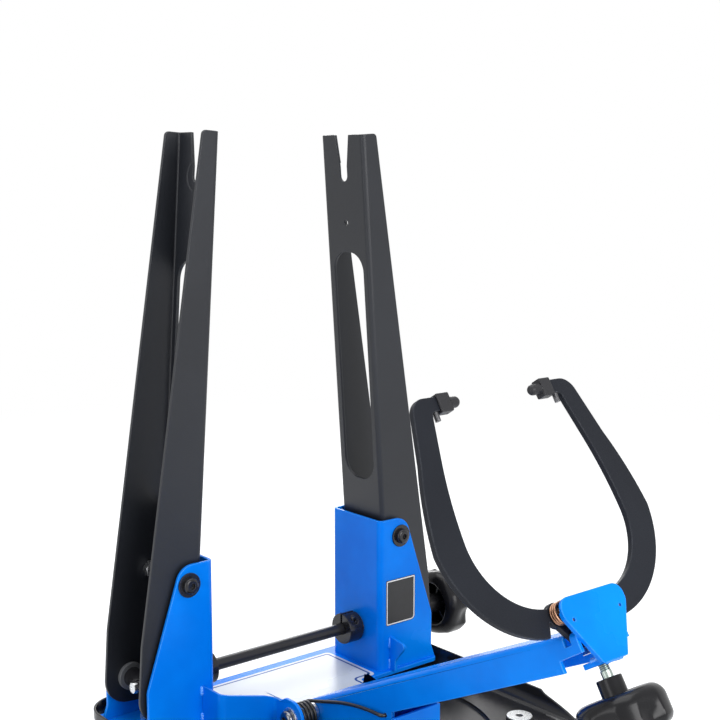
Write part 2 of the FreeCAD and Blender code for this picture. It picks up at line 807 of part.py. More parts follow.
def pivot_screw(at, side):
    out = axis_y * side
    head_seat = at + out * (ear_outer_y + pivot_washer)
    tip = at + out * (upright_half_depth - upright_sheet - free_gap - pivot_nut_height - pivot_proud)
    shank = rod(pivot_screw_radius, tip, head_seat)
    head = rod(pivot_head_radius, head_seat, head_seat + out * pivot_head_height)
    crown = head_seat + out * pivot_head_height
    head = head.makeFillet(pivot_head_height * head_round_share, rim_of(head, crown))
    inner = crown - out * (pivot_head_height * socket_depth_share)
    outer = crown + out * overrun
    low, high = (inner, outer) if side > 0 else (outer, inner)
    return joined([shank, head]).cut(hexagon(pivot_socket_flat, low, high, "y"))


def pivot_washer_ring(at, side):
    out = axis_y * side
    face = at + out * ear_outer_y
    return ring(pivot_washer_radius, pivot_screw_radius, face, face + out * pivot_washer)


def pivot_bush(at, side):
    """A flanged bush: its flange fills the gap between ear and upright."""
    out = axis_y * side
    inner = at + out * (upright_half_depth - upright_sheet - free_gap)
    outer = at + out * ear_inner_y
    flange = rod(pivot_washer_radius, at + out * (upright_half_depth + free_gap), outer)
    tube = rod(pivot_bush_radius, inner, outer)
    return joined([tube, flange]).cut(rod(pivot_screw_radius, inner, outer))


def pivot_nut(at, side):
    out = axis_y * side
    high = at + out * (upright_half_depth - upright_sheet - free_gap)
    low = high - out * pivot_nut_height
    first, last = (low, high) if side > 0 else (high, low)
    return hexagon(pivot_nut_flat, first, last, "y").cut(rod(pivot_screw_radius, low, high))


# Spindle

def make_spindle():
    """The long rod: threaded left hand and right hand through the two nuts."""
    left = vec(-spindle_left, axle_y, spindle_z)
    right = vec(spindle_right, axle_y, spindle_z)
    bar = rod(spindle_radius, left, right)
    tip = rod(spindle_tip_radius, left - axis_x * spindle_tip, left)
    return joined([bar, tip])


def make_web_bush(side):
    """A flanged bush in the bracket's web, in which the spindle turns."""
    inside = side * (bracket_web_x - web_bush_flange)
    face = side * bracket_web_x
    outside = side * (bracket_web_x + bracket_sheet + web_bush_proud)
    flange = rod(web_bush_flange_radius, vec(inside, axle_y, spindle_z), vec(face, axle_y, spindle_z))
    tube = rod(web_bush_radius, vec(inside, axle_y, spindle_z), vec(outside, axle_y, spindle_z))
    bore = rod(spindle_radius + running_gap, vec(inside, axle_y, spindle_z), vec(outside, axle_y, spindle_z))
    return joined([flange, tube]).cut(bore)


def make_nut(side):
    """A cross nut: a barrel between the flanges, with a journal at each end in a slot."""
    at = vec(side * nut_x, axle_y, spindle_z)
    half_barrel = upright_half_depth - upright_sheet - nut_ring - free_gap
    half_all = upright_half_depth + nut_side_gap
    barrel = rod(nut_radius, at - axis_y * half_barrel, at + axis_y * half_barrel)
    journals = rod(nut_journal_radius, at - axis_y * half_all, at + axis_y * half_all)
    bore = rod(spindle_radius + running_gap, at - axis_x * nut_radius * 2, at + axis_x * nut_radius * 2)
    return joined([barrel, journals]).cut(bore)


def make_nut_rings(side):
    at = vec(side * nut_x, axle_y, spindle_z)
    rings = []
    for way in (-1, 1):
        inner = at + axis_y * way * (upright_half_depth - upright_sheet - nut_ring - free_gap)
        rings.append(ring(nut_ring_radius, nut_journal_radius, inner, inner + axis_y * way * nut_ring))
    return group(rings)


def collar_screw_line(side):
    """The clamp screw's line, across the split above the spindle."""
    at = vec(side * collar_centre_x, axle_y, spindle_z + collar_radius * collar_screw_lift_share)
    half = axis_y * collar_radius * collar_screw_half_share
    return at - half, at + half


def make_collars():
    """Split clamp collars that keep the spindle from sliding."""
    collars = []
    for side in (-1, 1):
        middle = vec(side * collar_centre_x, axle_y, spindle_z)
        half = axis_x * collar_width / 2
        body = ring(collar_radius, spindle_radius, middle - half, middle + half)
        slit = collar_split / 2
        split = box(middle.x - collar_width, middle.x + collar_width, axle_y - slit, axle_y + slit,
                    spindle_z, spindle_z + collar_radius * 2)
        start, end = collar_screw_line(side)
        neck = start + (end - start) * collar_pocket_share
        pocket = rod(collar_screw_head_radius, start - axis_y * overrun, neck)
        collars.append(body.cut(split).cut(rod(collar_screw_radius, start, end)).cut(pocket))
    return group(collars)


def make_collar_screws():
    screws = []
    for side in (-1, 1):
        start, end = collar_screw_line(side)
        neck = start + (end - start) * collar_pocket_share
        screw = joined([rod(collar_screw_head_radius, start, neck), rod(collar_screw_radius, neck, end)])
        deep = start + (neck - start) * collar_socket_share
        socket = hexagon(collar_screw_flat, start - axis_y * overrun, deep, "y")
        screws.append(screw.cut(socket))
    return group(screws)


def star(radius, low, high, scoop_radius, edge):
    """A star grip's solid between two levels: a disc with soft edges and scooped sides."""
    body = rod(radius, axis_z * low, axis_z * high)
    body = body.makeFillet(edge, rim_of(body, axis_z * low) + rim_of(body, axis_z * high))
    for i in range(knob_lobes):
        turn = math.pi * (i + i + 1) / knob_lobes
        at = vec(math.cos(turn), math.sin(turn), 0) * knob_radius * knob_scoop_share
        body = body.cut(rod(scoop_radius, at + axis_z * (low - overrun), at + axis_z * (high + overrun)))
    return body


def make_knob(bore_radius, bore_depth):
    """A moulded grip, open at its back, with its hub and ribs inside; the hub's end is at the origin."""
    rim = knob_hub_reach
    face = rim + knob_depth
    body = star(knob_radius, rim, face, knob_scoop_radius, knob_edge)
    deep = face - knob_floor
    cave = star(knob_radius - knob_wall, rim - knob_depth, deep, knob_scoop_radius + knob_wall, knob_wall)
    inside = face - knob_floor / 2
    hub = rod(knob_hub_radius, vec(0, 0, 0), axis_z * inside)
    ribs = []
    for i in range(knob_lobes):
        rib = box(0, knob_radius - knob_wall / 2, -knob_rib / 2, knob_rib / 2, rim + knob_rib_drop, inside)
        rib.rotate(vec(0, 0, 0), axis_z, full_turn * i / knob_lobes)
        ribs.append(rib)
    knob = joined([body.cut(cave), hub] + ribs)
    return knob.cut(rod(bore_radius, axis_z * -overrun, axis_z * bore_depth))


def make_spindle_knob():
    knob = make_knob(spindle_radius, spindle_right - knob_start)
    knob.rotate(vec(0, 0, 0), axis_y, quarter_turn)
    knob.translate(vec(knob_start, axle_y, spindle_z))
    return knob


# Support arm

def along_arm(forward, up):
    """A point of the Y-Z plane, given along the raised arm and square to it from its pivot."""
    a = math.radians(arm_angle)
    y = arm_pivot_y - forward * math.cos(a) + up * math.sin(a)
    z = arm_pivot_z + forward * math.sin(a) + up * math.cos(a)
    return y, z


def make_support_arm():
    """A channel with a flat top; near the pivot its sides reach down to form a box."""
    w = arm_half_width
    t = arm_sheet
    length = caliper_reach + head_top
    rear = arm_tail
    low = arm_pivot_z + arm_box_rise
    under = along_arm(0, -arm_under)
    box_front_z = under[1] + (under[0] - cross_front_y) * math.tan(math.radians(arm_angle))
    r = rear * arm_tail_round_share
    body = slab([
        along_arm(length, -arm_under), along_arm(length, arm_over), along_arm(-rear, arm_over) + (r,),
        along_arm(-rear, -rear) + (r,), (cross_front_y, low), (cross_front_y, box_front_z),
    ], "x", -w, w)
    body = body.makeFillet(arm_bend, arm_ridges(body))
    core = slab([
        along_arm(far, -far), along_arm(far, arm_over - t), along_arm(-far, arm_over - t),
        along_arm(-far, -far),
    ], "x", -w + t, w - t)
    inner = arm_bend - t
    core = core.makeFillet(inner, arm_ridges(core))
    body = body.cut(core)
    side = w + overrun
    cheek_end = head_flange - head_front
    slot_y = (caliper_front_y - arm_slot_gap, caliper_back_y + arm_slot_gap)
    slot = box(-side, side, *slot_y, arm_cheek_top, far)
    well_half = wedge_depth / 2 + arm_slot_gap
    well = box(t - w, w - t, caliper_mid_y - well_half, caliper_mid_y + well_half, arm_cheek_top, far)
    front = box(-side, side, -far, cheek_end, -far, far)
    notch = box(-side, side, -far, arm_notch_end, -far, -head_bottom + arm_notch)
    floor = box(-side, side, -far, nut_plate_back, -head_bottom, -head_bottom + nut_plate_sheet)
    for piece in (slot, well, front, notch, floor):
        body = body.cut(place_head(piece))
    body = body.cut(rod(arm_bush_radius, arm_axis(-w * 2), arm_axis(w * 2)))
    hook = arm_spring_hook()
    hook_hole = rod(arm_wire / 2 + free_gap, hook - axis_x * overrun, hook + axis_x * w)
    return body.cut(hook_hole)


def arm_ridges(body):
    """The long edges where the channel's top meets its sides."""
    a = math.radians(arm_angle)
    up = vec(0, math.sin(a), math.cos(a))
    ridges = []
    for e in [e for e in body.Edges if e.Length > caliper_reach / 2 and len(e.Vertexes) > 1]:
        run = e.Vertexes[1].Point - e.Vertexes[0].Point
        rise = (e.Vertexes[0].Point - arm_axis(0)).dot(up)
        if abs(run.x) < weld_sink and abs(run.dot(up)) < weld_sink and rise > 0:
            ridges.append(e)
    return ridges


def make_cross_plate():
    """A bent plate that closes the box in front; its foot runs back and carries the rest screw."""
    y0, y1 = cross_front_y, cross_front_y + cross_flange
    t = arm_sheet
    section = [
        (y0, cross_top_z), (y0 - t, cross_top_z), (y0 - t, cross_bottom_z, cross_bend),
        (y1, cross_bottom_z), (y1, cross_bottom_z + t), (y0, cross_bottom_z + t, cross_bend - t),
    ]
    w = arm_half_width - arm_sheet - free_gap
    bent = slab(section, "x", -w, w)
    face = box(-arm_half_width, arm_half_width, y0 - t, y0, cross_bottom_z + cross_bend, cross_top_z)
    hole = vec(0, rest_y, cross_bottom_z - overrun)
    top = hole + axis_z * (arm_sheet + overrun * 2)
    return joined([bent, face]).cut(rod(rest_radius + running_gap, hole, top))


def make_rest_screw():
    """The screw on which the lowered arm rests, just above the dish."""
    low = vec(0, rest_y, dish_floor_z + free_gap)
    top = vec(0, rest_y, cross_bottom_z + arm_sheet + rest_nut_height + rest_proud)
    return joined([hexagon(rest_flat, low, low + axis_z * rest_head, "z"), rod(rest_radius, low, top)])


def make_rest_nuts():
    nuts = []
    above = cross_bottom_z + arm_sheet
    below = cross_bottom_z - rest_nut_height
    for z in (above, below):
        low = vec(0, rest_y, z)
        top = low + axis_z * rest_nut_height
        nuts.append(hexagon(rest_flat, low, top, "z").cut(rod(rest_radius, low, top)))
    return group(nuts)


def arm_axis(x):
    return vec(x, arm_pivot_y, arm_pivot_z)


def make_arm_bolt():
    a = arm_axis(-arm_ear_x - arm_washer)
    b = arm_axis(arm_ear_x + arm_washer + arm_nut_height + arm_bolt_proud)
    head_end = a - axis_x * arm_bolt_head
    head = rod(arm_bolt_head_radius, head_end, a)
    head = head.makeFillet(arm_bolt_head * head_round_share, rim_of(head, head_end))
    depth = arm_bolt_head * socket_depth_share
    socket = hexagon(arm_socket_flat, head_end - axis_x * overrun, head_end + axis_x * depth, "x")
    return joined([rod(arm_bolt_radius, a, b), head]).cut(socket)


def make_arm_washers():
    left, right = arm_axis(-arm_ear_x), arm_axis(arm_ear_x)
    return group([
        ring(arm_washer_radius, arm_bolt_radius, left - axis_x * arm_washer, left),
        ring(arm_nut_washer_radius, arm_bolt_radius, right, right + axis_x * arm_washer),
    ])


def make_arm_nut():
    start = arm_axis(arm_ear_x + arm_washer)
    end = start + axis_x * arm_nut_height
    return hexagon(arm_nut_flat, start, end, "x").cut(rod(arm_bolt_radius, start, end))


def make_arm_bush():
    """A bush through the arm, with a spool on each side; the left one carries the coil."""
    end = ear_inside_x - free_gap
    spool = arm_half_width + free_gap
    pieces = [
        rod(arm_bush_radius, arm_axis(-end), arm_axis(end)),
        rod(arm_spool_radius, arm_axis(-end), arm_axis(-spool)),
        rod(arm_spool_radius, arm_axis(spool), arm_axis(end)),
    ]
    return joined(pieces).cut(rod(arm_bolt_radius + running_gap, arm_axis(-end), arm_axis(end)))


# Springs

def biarc(start, along_start, end, along_end):
    """Two arcs that leave and arrive along the given directions."""
    chord = end - start
    total = along_start + along_end
    squared = chord.dot(chord)
    middle = chord.dot(total)
    factor = 2 * (1 - along_start.dot(along_end))
    reach_out = (-middle + math.sqrt(middle * middle + factor * squared)) / factor
    first = start + along_start * reach_out
    last = end - along_end * reach_out
    join = (first + last) * 0.5
    return [arc_to(start, along_start, join), arc_to(join, (last - first).normalize(), end)]


def arc_to(start, along, end):
    """An arc that leaves start along a direction and ends at end."""
    chord = end - start
    side = (chord - along * chord.dot(along)).normalize()
    radius = chord.dot(chord) / (2 * chord.dot(side))
    centre = start + side * radius
    bisector = ((start - centre) + (end - centre)).normalize()
    return Part.Arc(start, centre + bisector * radius, end).toShape()


def helix_run(radius, rise, first_turn, last_turn):
    """Points and directions round +Z, at most a quarter turn apart; turns are in degrees."""
    count = int(math.ceil((last_turn - first_turn) / quarter_turn - tiny_share))
    stations = []
    for i in range(count + 1):
        share = i / count
        turn = math.radians(first_turn + (last_turn - first_turn) * share)
        out = vec(math.cos(turn), math.sin(turn), 0)
        around = vec(-out.y, out.x, 0) * radius * math.radians(last_turn - first_turn)
        stations.append((out * radius + axis_z * rise * share, (around + axis_z * rise).normalize()))
    return stations


def wire_tube(name, wire, stations):
    """One unbroken tube through stations of a point and a direction; prints its least gap to itself."""
    edges = []
    for (start, along_start), (end, along_end) in zip(stations[:-1], stations[1:]):
        straight = (end - start).normalize()
        if straight.getAngle(along_start) + straight.getAngle(along_end) < tiny_share:
            edges.append(Part.LineSegment(start, end).toShape())
        else:
            edges += biarc(start, along_start, end, along_end)
    path = Part.Wire(edges)
    profile = Part.Wire(Part.makeCircle(wire / 2, stations[0][0], stations[0][1]))
    print(name, "least gap to itself", round(self_gap(edges, wire), 3))
    return path.makePipeShell([profile], True, False)


def self_gap(edges, wire):
    """Least distance between stretches of the wire that are not neighbours along it."""
    spacing = wire / wire_steps
    points = []
    for edge in edges:
        count = max(2, int(math.ceil(edge.Length / spacing)))
        run = edge.discretize(count + 1)
        if points and run[-1].distanceToPoint(points[-1]) < run[0].distanceToPoint(points[-1]):
            run.reverse()
        points += run[:-1] if not points else run[1:]
    skip = int(math.ceil(math.pi * wire / spacing))
    least = min(a.distanceToPoint(b) for i, a in enumerate(points) for b in points[i + skip:])
    return least - wire


def arm_spring_stations():
    """The wire from its foot above the dish, round the spool, and forward to its hook in the arm."""
    foot, lift = math.radians(arm_foot_drop), math.radians(arm_leg_rise)
    first = arm_foot_drop - quarter_turn
    last = quarter_turn - arm_leg_rise + full_turn * arm_coil_turns
    rise = arm_coil_pitch * (last - first) / full_turn
    coil = helix_run(arm_coil_radius, rise, first, last)
    drop = arm_pivot_z - arm_coil_radius * math.cos(foot) - dish_floor_z - free_gap - arm_wire / 2
    back = vec(-math.cos(foot), -math.sin(foot), 0)
    first_leg = coil[0][0] + back * (drop / math.sin(foot))
    ahead = vec(-math.cos(lift), math.sin(lift), 0)
    leg = coil[-1][0] + ahead * arm_leg_straight
    level = vec(-1, 0, 0)
    bow_end = leg + level * arm_leg_bow + axis_y * (arm_leg_bow * math.tan(lift / 2))
    corner = bow_end + level * arm_hook_radius + axis_z * arm_hook_radius
    hook_end = corner + axis_z * arm_hook
    legs = [(coil[-1][0], ahead), (leg, ahead), (bow_end, level), (corner, axis_z), (hook_end, axis_z)]
    return [(first_leg, back * -1), (coil[0][0], back * -1)] + coil[1:-1] + legs


def from_coil_frame(point):
    """The arm spring's own frame: its X is the model's Y, its Y the model's Z, its Z the model's X."""
    rise = arm_coil_pitch * (arm_coil_turns + (half_turn - arm_leg_rise - arm_foot_drop) / full_turn)
    return vec(point.z + arm_coil_x - rise, point.x + arm_pivot_y, point.y + arm_pivot_z)


def make_arm_spring():
    """Coil on the spool; the long leg bows forward along the arm and hooks into its side."""
    stations = arm_spring_stations()
    turned = [(from_coil_frame(p), vec(d.z, d.x, d.y)) for p, d in stations]
    return wire_tube("arm_spring", arm_wire, turned)


def arm_spring_hook():
    """Where the long leg's hook enters the arm's side."""
    return from_coil_frame(arm_spring_stations()[-1][0])


# Caliper head

def place_head(shape):
    """From the caliper plane's own frame to its place at the end of the raised arm."""
    y, z = along_arm(caliper_reach, caliper_rise)
    shape.rotate(vec(0, 0, 0), axis_x, -caliper_angle)
    shape.translate(vec(0, y, z))
    return shape


def head_outline(inset):
    """The front plate's outline, drawn in by an inset: wide above, narrow at its foot."""
    w, foot = head_half_width - inset, head_foot_half - inset
    r = head_round - inset
    shoulder = head_top - head_shoulder
    return [
        (-foot, -head_bottom, head_foot_round), (foot, -head_bottom, head_foot_round), (w, shoulder, r),
        (w, head_top - inset, r), (-w, head_top - inset, r), (-w, shoulder, r),
    ]


def make_caliper_bracket():
    """The front plate, with its two slanting sides bent back."""
    back = head_front - head_flange
    tray = slab(head_outline(0), "y", -head_front, -back)
    core = slab(head_outline(head_sheet), "y", head_back, -back + overrun)
    half = head_foot_half - head_sheet
    foot = box(-half, half, head_back, -back + overrun, -head_bottom, 0)
    w = head_half_width
    roof = box(-w, w, head_back, -back + overrun, caliper_pivot_z, head_top)
    plate = tray.cut(core).cut(foot).cut(roof)
    for side in (-1, 1):
        hole = spring_hole(side) - axis_y * (head_front + overrun)
        plate = plate.cut(rod(head_hole_radius, hole, hole + axis_y * (head_sheet + overrun * 2)))
    return place_head(plate)


def spring_hole(side):
    """Where a spring's end passes through the front plate, beside its pin."""
    turn = math.radians(coil_hole_turn)
    x = caliper_pivot_x + coil_radius * math.cos(turn)
    return vec(side * x, 0, caliper_pivot_z + coil_radius * math.sin(turn))


def make_nut_plate():
    """The thick plate behind the front plate's foot; the stud is threaded through it."""
    low = -head_bottom
    half = nut_plate_half
    neck = head_foot_half - head_sheet
    flange_end = head_flange - head_front
    outline = [
        (-neck, head_back), (neck, head_back), (neck, flange_end), (half, nut_plate_shoulder),
        (half, nut_plate_back), (-half, nut_plate_back), (-half, nut_plate_shoulder), (-neck, flange_end),
    ]
    plate = slab(outline, "z", low, low + nut_plate_sheet)
    hole = vec(0, caliper_mid_y, low - overrun)
    return place_head(plate.cut(rod(stud_radius + running_gap, hole, hole + axis_z * far)))


def pin_point(side, y):
    return vec(side * caliper_pivot_x, y, caliper_pivot_z)


def make_caliper_pin(side):
    """A pin welded behind the front plate; spring, arm and clip sit on it."""
    end = caliper_back_y + free_gap + clip_thickness + pin_proud
    return place_head(rod(caliper_pin_radius, pin_point(side, head_back), pin_point(side, end)))


def make_pin_clip(side):
    start = pin_point(side, caliper_back_y + free_gap)
    clip = ring(clip_radius, caliper_pin_radius, start, start + axis_y * clip_thickness)
    gap = caliper_pin_radius * clip_mouth_share
    mouth = box(start.x - gap, start.x + gap, start.y, start.y + clip_thickness,
                caliper_pivot_z - clip_radius * 2, caliper_pivot_z)
    return place_head(clip.cut(mouth))


def from_shares(pairs):
    return [(a * caliper_bow, b * caliper_height) for a, b in pairs]


def plane_arc(three):
    return Part.Arc(*[vec(a, caliper_front_y, b) for a, b in three]).toShape()


def plane_line(a, b):
    y = caliper_front_y
    return Part.LineSegment(vec(a[0], y, a[1]), vec(b[0], y, b[1])).toShape()


def corner_edge(solid, x, z):
    """The edges that run front to back through a corner of a flat part."""
    found = []
    for e in solid.Edges:
        ends = [v.Point for v in e.Vertexes]
        if max(abs(p.x - x) + abs(p.z - z) for p in ends) < weld_sink:
            found.append(e)
    return found


def make_caliper_arm():
    """The right arm: a flat sickle with an eye, a short tail inward and a finger on top."""
    low_out = from_shares(outer_low_shares)
    high_out = from_shares(outer_high_shares)
    high_in = from_shares(inner_high_shares)
    low_in = from_shares(inner_low_shares)
    outer = (outer_corner_share * caliper_bow, finger_high)
    inner = (inner_corner_share * caliper_bow, finger_low)
    rim = [high_out[-1], outer, (finger_end, finger_high), (finger_end, finger_low), inner, high_in[0]]
    edges = [plane_arc(low_out), plane_arc(high_out)]
    edges += [plane_line(a, b) for a, b in zip(rim[:-1], rim[1:])]
    edges += [plane_arc(high_in), plane_arc(low_in), plane_line(low_in[-1], low_out[0])]
    sickle = Part.Face(Part.Wire(edges)).extrude(axis_y * caliper_sheet)
    sickle = sickle.makeFillet(finger_round, corner_edge(sickle, *outer))
    sickle = sickle.makeFillet(finger_inner_round, corner_edge(sickle, *inner))
    eye = rod(caliper_eye_radius, pin_point(1, caliper_front_y), pin_point(1, caliper_back_y))
    tail_at = vec(tail_x, caliper_front_y, tail_z)
    toe = rod(tail_radius, tail_at, tail_at + axis_y * caliper_sheet)
    arm = joined([sickle, eye, toe, tail_web()])
    pin = rod(caliper_pin_radius + running_gap, pin_point(1, 0), pin_point(1, caliper_back_y + overrun))
    screw = vec(tip_screw_x, caliper_mid_y, finger_low - overrun)
    hole = rod(tip_screw_radius, screw, vec(tip_screw_x, caliper_mid_y, tip_mid_z))
    return arm.cut(pin).cut(hole)


def tail_web():
    """The tapering web between the eye and the toe, tangent to both."""
    dx = tail_x - caliper_pivot_x
    dz = tail_z - caliper_pivot_z
    length = math.hypot(dx, dz)
    across = (-dz / length, dx / length)
    r0 = caliper_eye_radius * tail_root_share
    r1 = tail_radius
    corners = [
        (caliper_pivot_x + across[0] * r0, caliper_pivot_z + across[1] * r0),
        (tail_x + across[0] * r1, tail_z + across[1] * r1),
        (tail_x - across[0] * r1, tail_z - across[1] * r1),
        (caliper_pivot_x - across[0] * r0, caliper_pivot_z - across[1] * r0),
    ]
    return slab(corners, "y", caliper_front_y, caliper_back_y)


def make_tip():
    """The feeler on the finger's end: a slotted cap with a round nose towards the rim."""
    half, high = tip_depth / 2, tip_height / 2
    x0, x1 = tip_cap_start, tip_cap_end
    cap = box(x0, x1, caliper_mid_y - half, caliper_mid_y + half, tip_mid_z - high, tip_mid_z + high)
    cap = cap.makeFillet(tip_cap_edge, cap.Edges)
    slot = box(finger_end, x1 + overrun, caliper_front_y, caliper_back_y, finger_low, finger_high)
    end = vec(tip_reach + tip_nose_radius, caliper_mid_y, tip_mid_z)
    neck = rod(tip_nose_radius, end, vec(x0 + tip_cap_wall, caliper_mid_y, tip_mid_z))
    return joined([cap, neck, Part.makeSphere(tip_nose_radius, end)]).cut(slot)


def make_tip_screw():
    top = vec(tip_screw_x, caliper_mid_y, tip_mid_z)
    seat = vec(tip_screw_x, caliper_mid_y, finger_low)
    head = rod(tip_screw_head_radius, seat - axis_z * tip_screw_head, seat)
    return joined([rod(tip_screw_radius, seat, top), head])


def make_wedge():
    """The spreader: a flat wedge on the stud's end, between the two toes."""
    a = math.radians(wedge_angle)
    touch_x = tail_x - tail_radius * math.cos(a) - wedge_gap
    touch_z = tail_z - tail_radius * math.sin(a)
    half_top = touch_x + (touch_z - wedge_top_z) * math.tan(a)
    half_low = touch_x + (touch_z - wedge_bottom_z) * math.tan(a)
    outline = [
        (-half_low, wedge_bottom_z), (half_low, wedge_bottom_z), (half_top, wedge_top_z, wedge_round),
        (-half_top, wedge_top_z, wedge_round),
    ]
    wedge = slab(outline, "y", caliper_mid_y - wedge_depth / 2, caliper_mid_y + wedge_depth / 2)
    low = vec(0, caliper_mid_y, wedge_bottom_z)
    bore = rod(wedge_bore_radius + running_gap, low, low + axis_z * wedge_bore_depth)
    return place_head(wedge.cut(bore))


def make_stud():
    """The threaded stud from the knob through the nut plate into the wedge."""
    low = vec(0, caliper_mid_y, stud_hub_z - stud_in_knob)
    shoulder = vec(0, caliper_mid_y, wedge_bottom_z - free_gap)
    thin = vec(0, caliper_mid_y, wedge_bottom_z + wedge_bore_depth - free_gap)
    return place_head(joined([rod(stud_radius, low, shoulder), rod(wedge_bore_radius, shoulder, thin)]))


def make_caliper_knob():
    knob = make_knob(stud_radius, stud_in_knob)
    knob.rotate(vec(0, 0, 0), axis_x, half_turn)
    knob.translate(vec(0, caliper_mid_y, stud_hub_z))
    return place_head(knob)


def make_caliper_spring(side):
    """The return spring on a pin: one end hooks in the front plate, one leg lies before the arm."""
    hole_turn = math.radians(coil_hole_turn)
    out = vec(math.cos(hole_turn), math.sin(hole_turn), 0) * coil_radius
    first = coil_hole_turn + coil_bend_turn
    last = first + full_turn * coil_turns
    rise = coil_pitch * coil_turns
    start = axis_z * (caliper_front_y - head_back - free_gap - coil_wire / 2 - rise)
    run = [(p + start, d) for p, d in helix_run(coil_radius, rise, first, last)]
    bend = out + start - axis_z * (coil_wire * coil_bend_share)
    stations = [(out - axis_z * (head_sheet / 2), axis_z), (bend, axis_z)] + run
    level = vec(run[-1][1].x, run[-1][1].y, 0).normalize()
    stations[-1] = (run[-1][0], level)
    stations.append((run[-1][0] + level * coil_leg, level))
    seat = vec(caliper_pivot_x, head_back, caliper_pivot_z)
    turned = [(vec(p.x, p.z, p.y) + seat, vec(d.x, d.z, d.y)) for p, d in stations]
    spring = wire_tube("caliper_spring", coil_wire, turned)
    return place_head(spring if side > 0 else mirrored(spring))


os.makedirs("parts", exist_ok=True)

save("base_tray", make_tray())
save("rubber_feet", make_feet())
save("foot_sleeves", make_sleeves())
save("base_plate", make_base_plate())
save("base_spacers", make_spacers())
save("base_bolts", make_base_bolts())
save("base_nuts", make_base_nuts())
save("floor_label", make_floor_label())
right_bracket = make_bracket()
save("right_bracket", right_bracket)
save("left_bracket", mirrored(right_bracket))
save("arm_pivot_wall", make_pivot_wall())
save("right_arm_ear", make_right_ear())
save("right_bracket_fin", make_right_fin())
save("spec_plate", make_spec_plate())

right_upright = make_upright()
save("right_upright", right_upright)
save("left_upright", mirrored(right_upright))
for name, maker in (("pivot_screws", pivot_screw), ("pivot_washers", pivot_washer_ring),
                    ("pivot_bushes", pivot_bush), ("pivot_nuts", pivot_nut)):
    save(name, group([maker(at, side) for side_x in (-1, 1) for at, side in pivot_sites(side_x)]))

save("spindle", make_spindle())
save("web_bushes", group([make_web_bush(-1), make_web_bush(1)]))
for side, word in ((-1, "left"), (1, "right")):
    save(word + "_cross_nut", make_nut(side))
    save(word + "_nut_rings", make_nut_rings(side))
save("spindle_collars", make_collars())
save("collar_screws", make_collar_screws())
save("spindle_knob", make_spindle_knob())

save("support_arm", make_support_arm())
save("arm_cross_plate", make_cross_plate())
save("arm_bush", make_arm_bush())
save("arm_bolt", make_arm_bolt())
save("arm_washers", make_arm_washers())
save("arm_nut", make_arm_nut())
save("arm_spring", make_arm_spring())
save("rest_screw", make_rest_screw())
save("rest_nuts", make_rest_nuts())

save("caliper_bracket", make_caliper_bracket())
save("nut_plate", make_nut_plate())
save("caliper_pins", group([make_caliper_pin(-1), make_caliper_pin(1)]))
save("pin_clips", group([make_pin_clip(-1), make_pin_clip(1)]))
right_arm = make_caliper_arm()
right_tip = make_tip()
right_screw = make_tip_screw()
for word, turned in (("right", Part.Shape.copy), ("left", mirrored)):
    save(word + "_caliper_arm", place_head(turned(right_arm)))
    save(word + "_caliper_tip", place_head(turned(right_tip)))
    save(word + "_tip_screw", place_head(turned(right_screw)))
save("spreader_wedge", make_wedge())
save("caliper_stud", make_stud())
save("caliper_knob", make_caliper_knob())
save("right_caliper_spring", make_caliper_spring(1))
save("left_caliper_spring", make_caliper_spring(-1))
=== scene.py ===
import json
import math

import bmesh
import bpy
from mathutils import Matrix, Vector

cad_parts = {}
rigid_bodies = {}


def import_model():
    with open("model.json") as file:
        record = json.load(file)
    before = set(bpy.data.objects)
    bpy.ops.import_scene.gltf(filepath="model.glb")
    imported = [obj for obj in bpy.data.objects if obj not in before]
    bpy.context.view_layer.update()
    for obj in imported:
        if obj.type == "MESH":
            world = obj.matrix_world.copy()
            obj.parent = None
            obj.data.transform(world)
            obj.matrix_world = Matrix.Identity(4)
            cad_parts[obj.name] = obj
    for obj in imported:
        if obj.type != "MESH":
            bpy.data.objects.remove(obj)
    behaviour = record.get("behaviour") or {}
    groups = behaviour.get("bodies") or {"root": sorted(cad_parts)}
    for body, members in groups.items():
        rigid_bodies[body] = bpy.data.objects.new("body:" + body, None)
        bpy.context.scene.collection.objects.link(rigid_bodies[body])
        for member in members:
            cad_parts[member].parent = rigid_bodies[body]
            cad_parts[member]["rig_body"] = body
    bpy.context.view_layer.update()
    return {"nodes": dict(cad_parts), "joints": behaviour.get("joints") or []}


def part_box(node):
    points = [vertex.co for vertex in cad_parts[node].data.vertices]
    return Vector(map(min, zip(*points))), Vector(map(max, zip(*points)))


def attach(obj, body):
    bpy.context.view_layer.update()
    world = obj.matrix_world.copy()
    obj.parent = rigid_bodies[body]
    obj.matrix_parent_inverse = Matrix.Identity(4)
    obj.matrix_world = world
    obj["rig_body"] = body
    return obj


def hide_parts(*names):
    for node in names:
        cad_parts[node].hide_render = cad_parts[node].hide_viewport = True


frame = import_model()
print("frame loaded:", len(frame["nodes"]), "nodes")

mm = 0.001


# camera
cameraSetup = {
    "place": (-0.6777, -0.8671, 0.4968),
    "turnDegrees": (81.72, 0.0, -39.64),
    "lens": 65.53,
    "sensor": 36.0,
}
cameraData = bpy.data.cameras.new("photoCamera")
cameraData.lens = cameraSetup["lens"]
cameraData.sensor_width = cameraSetup["sensor"]
camera = bpy.data.objects.new("photoCamera", cameraData)
camera.location = cameraSetup["place"]
camera.rotation_euler = [math.radians(a) for a in cameraSetup["turnDegrees"]]
bpy.context.scene.collection.objects.link(camera)
bpy.context.scene.camera = camera
bpy.context.scene.view_settings.view_transform = "Standard"
print("camera set")


# shader node tools
def feed(tree, socket, value):
    # a number or a color stays on the socket, anything else is linked to it
    if isinstance(value, (int, float)):
        socket.default_value = value
    elif isinstance(value, tuple):
        socket.default_value = value + (1.0,)
    else:
        tree.links.new(value, socket)


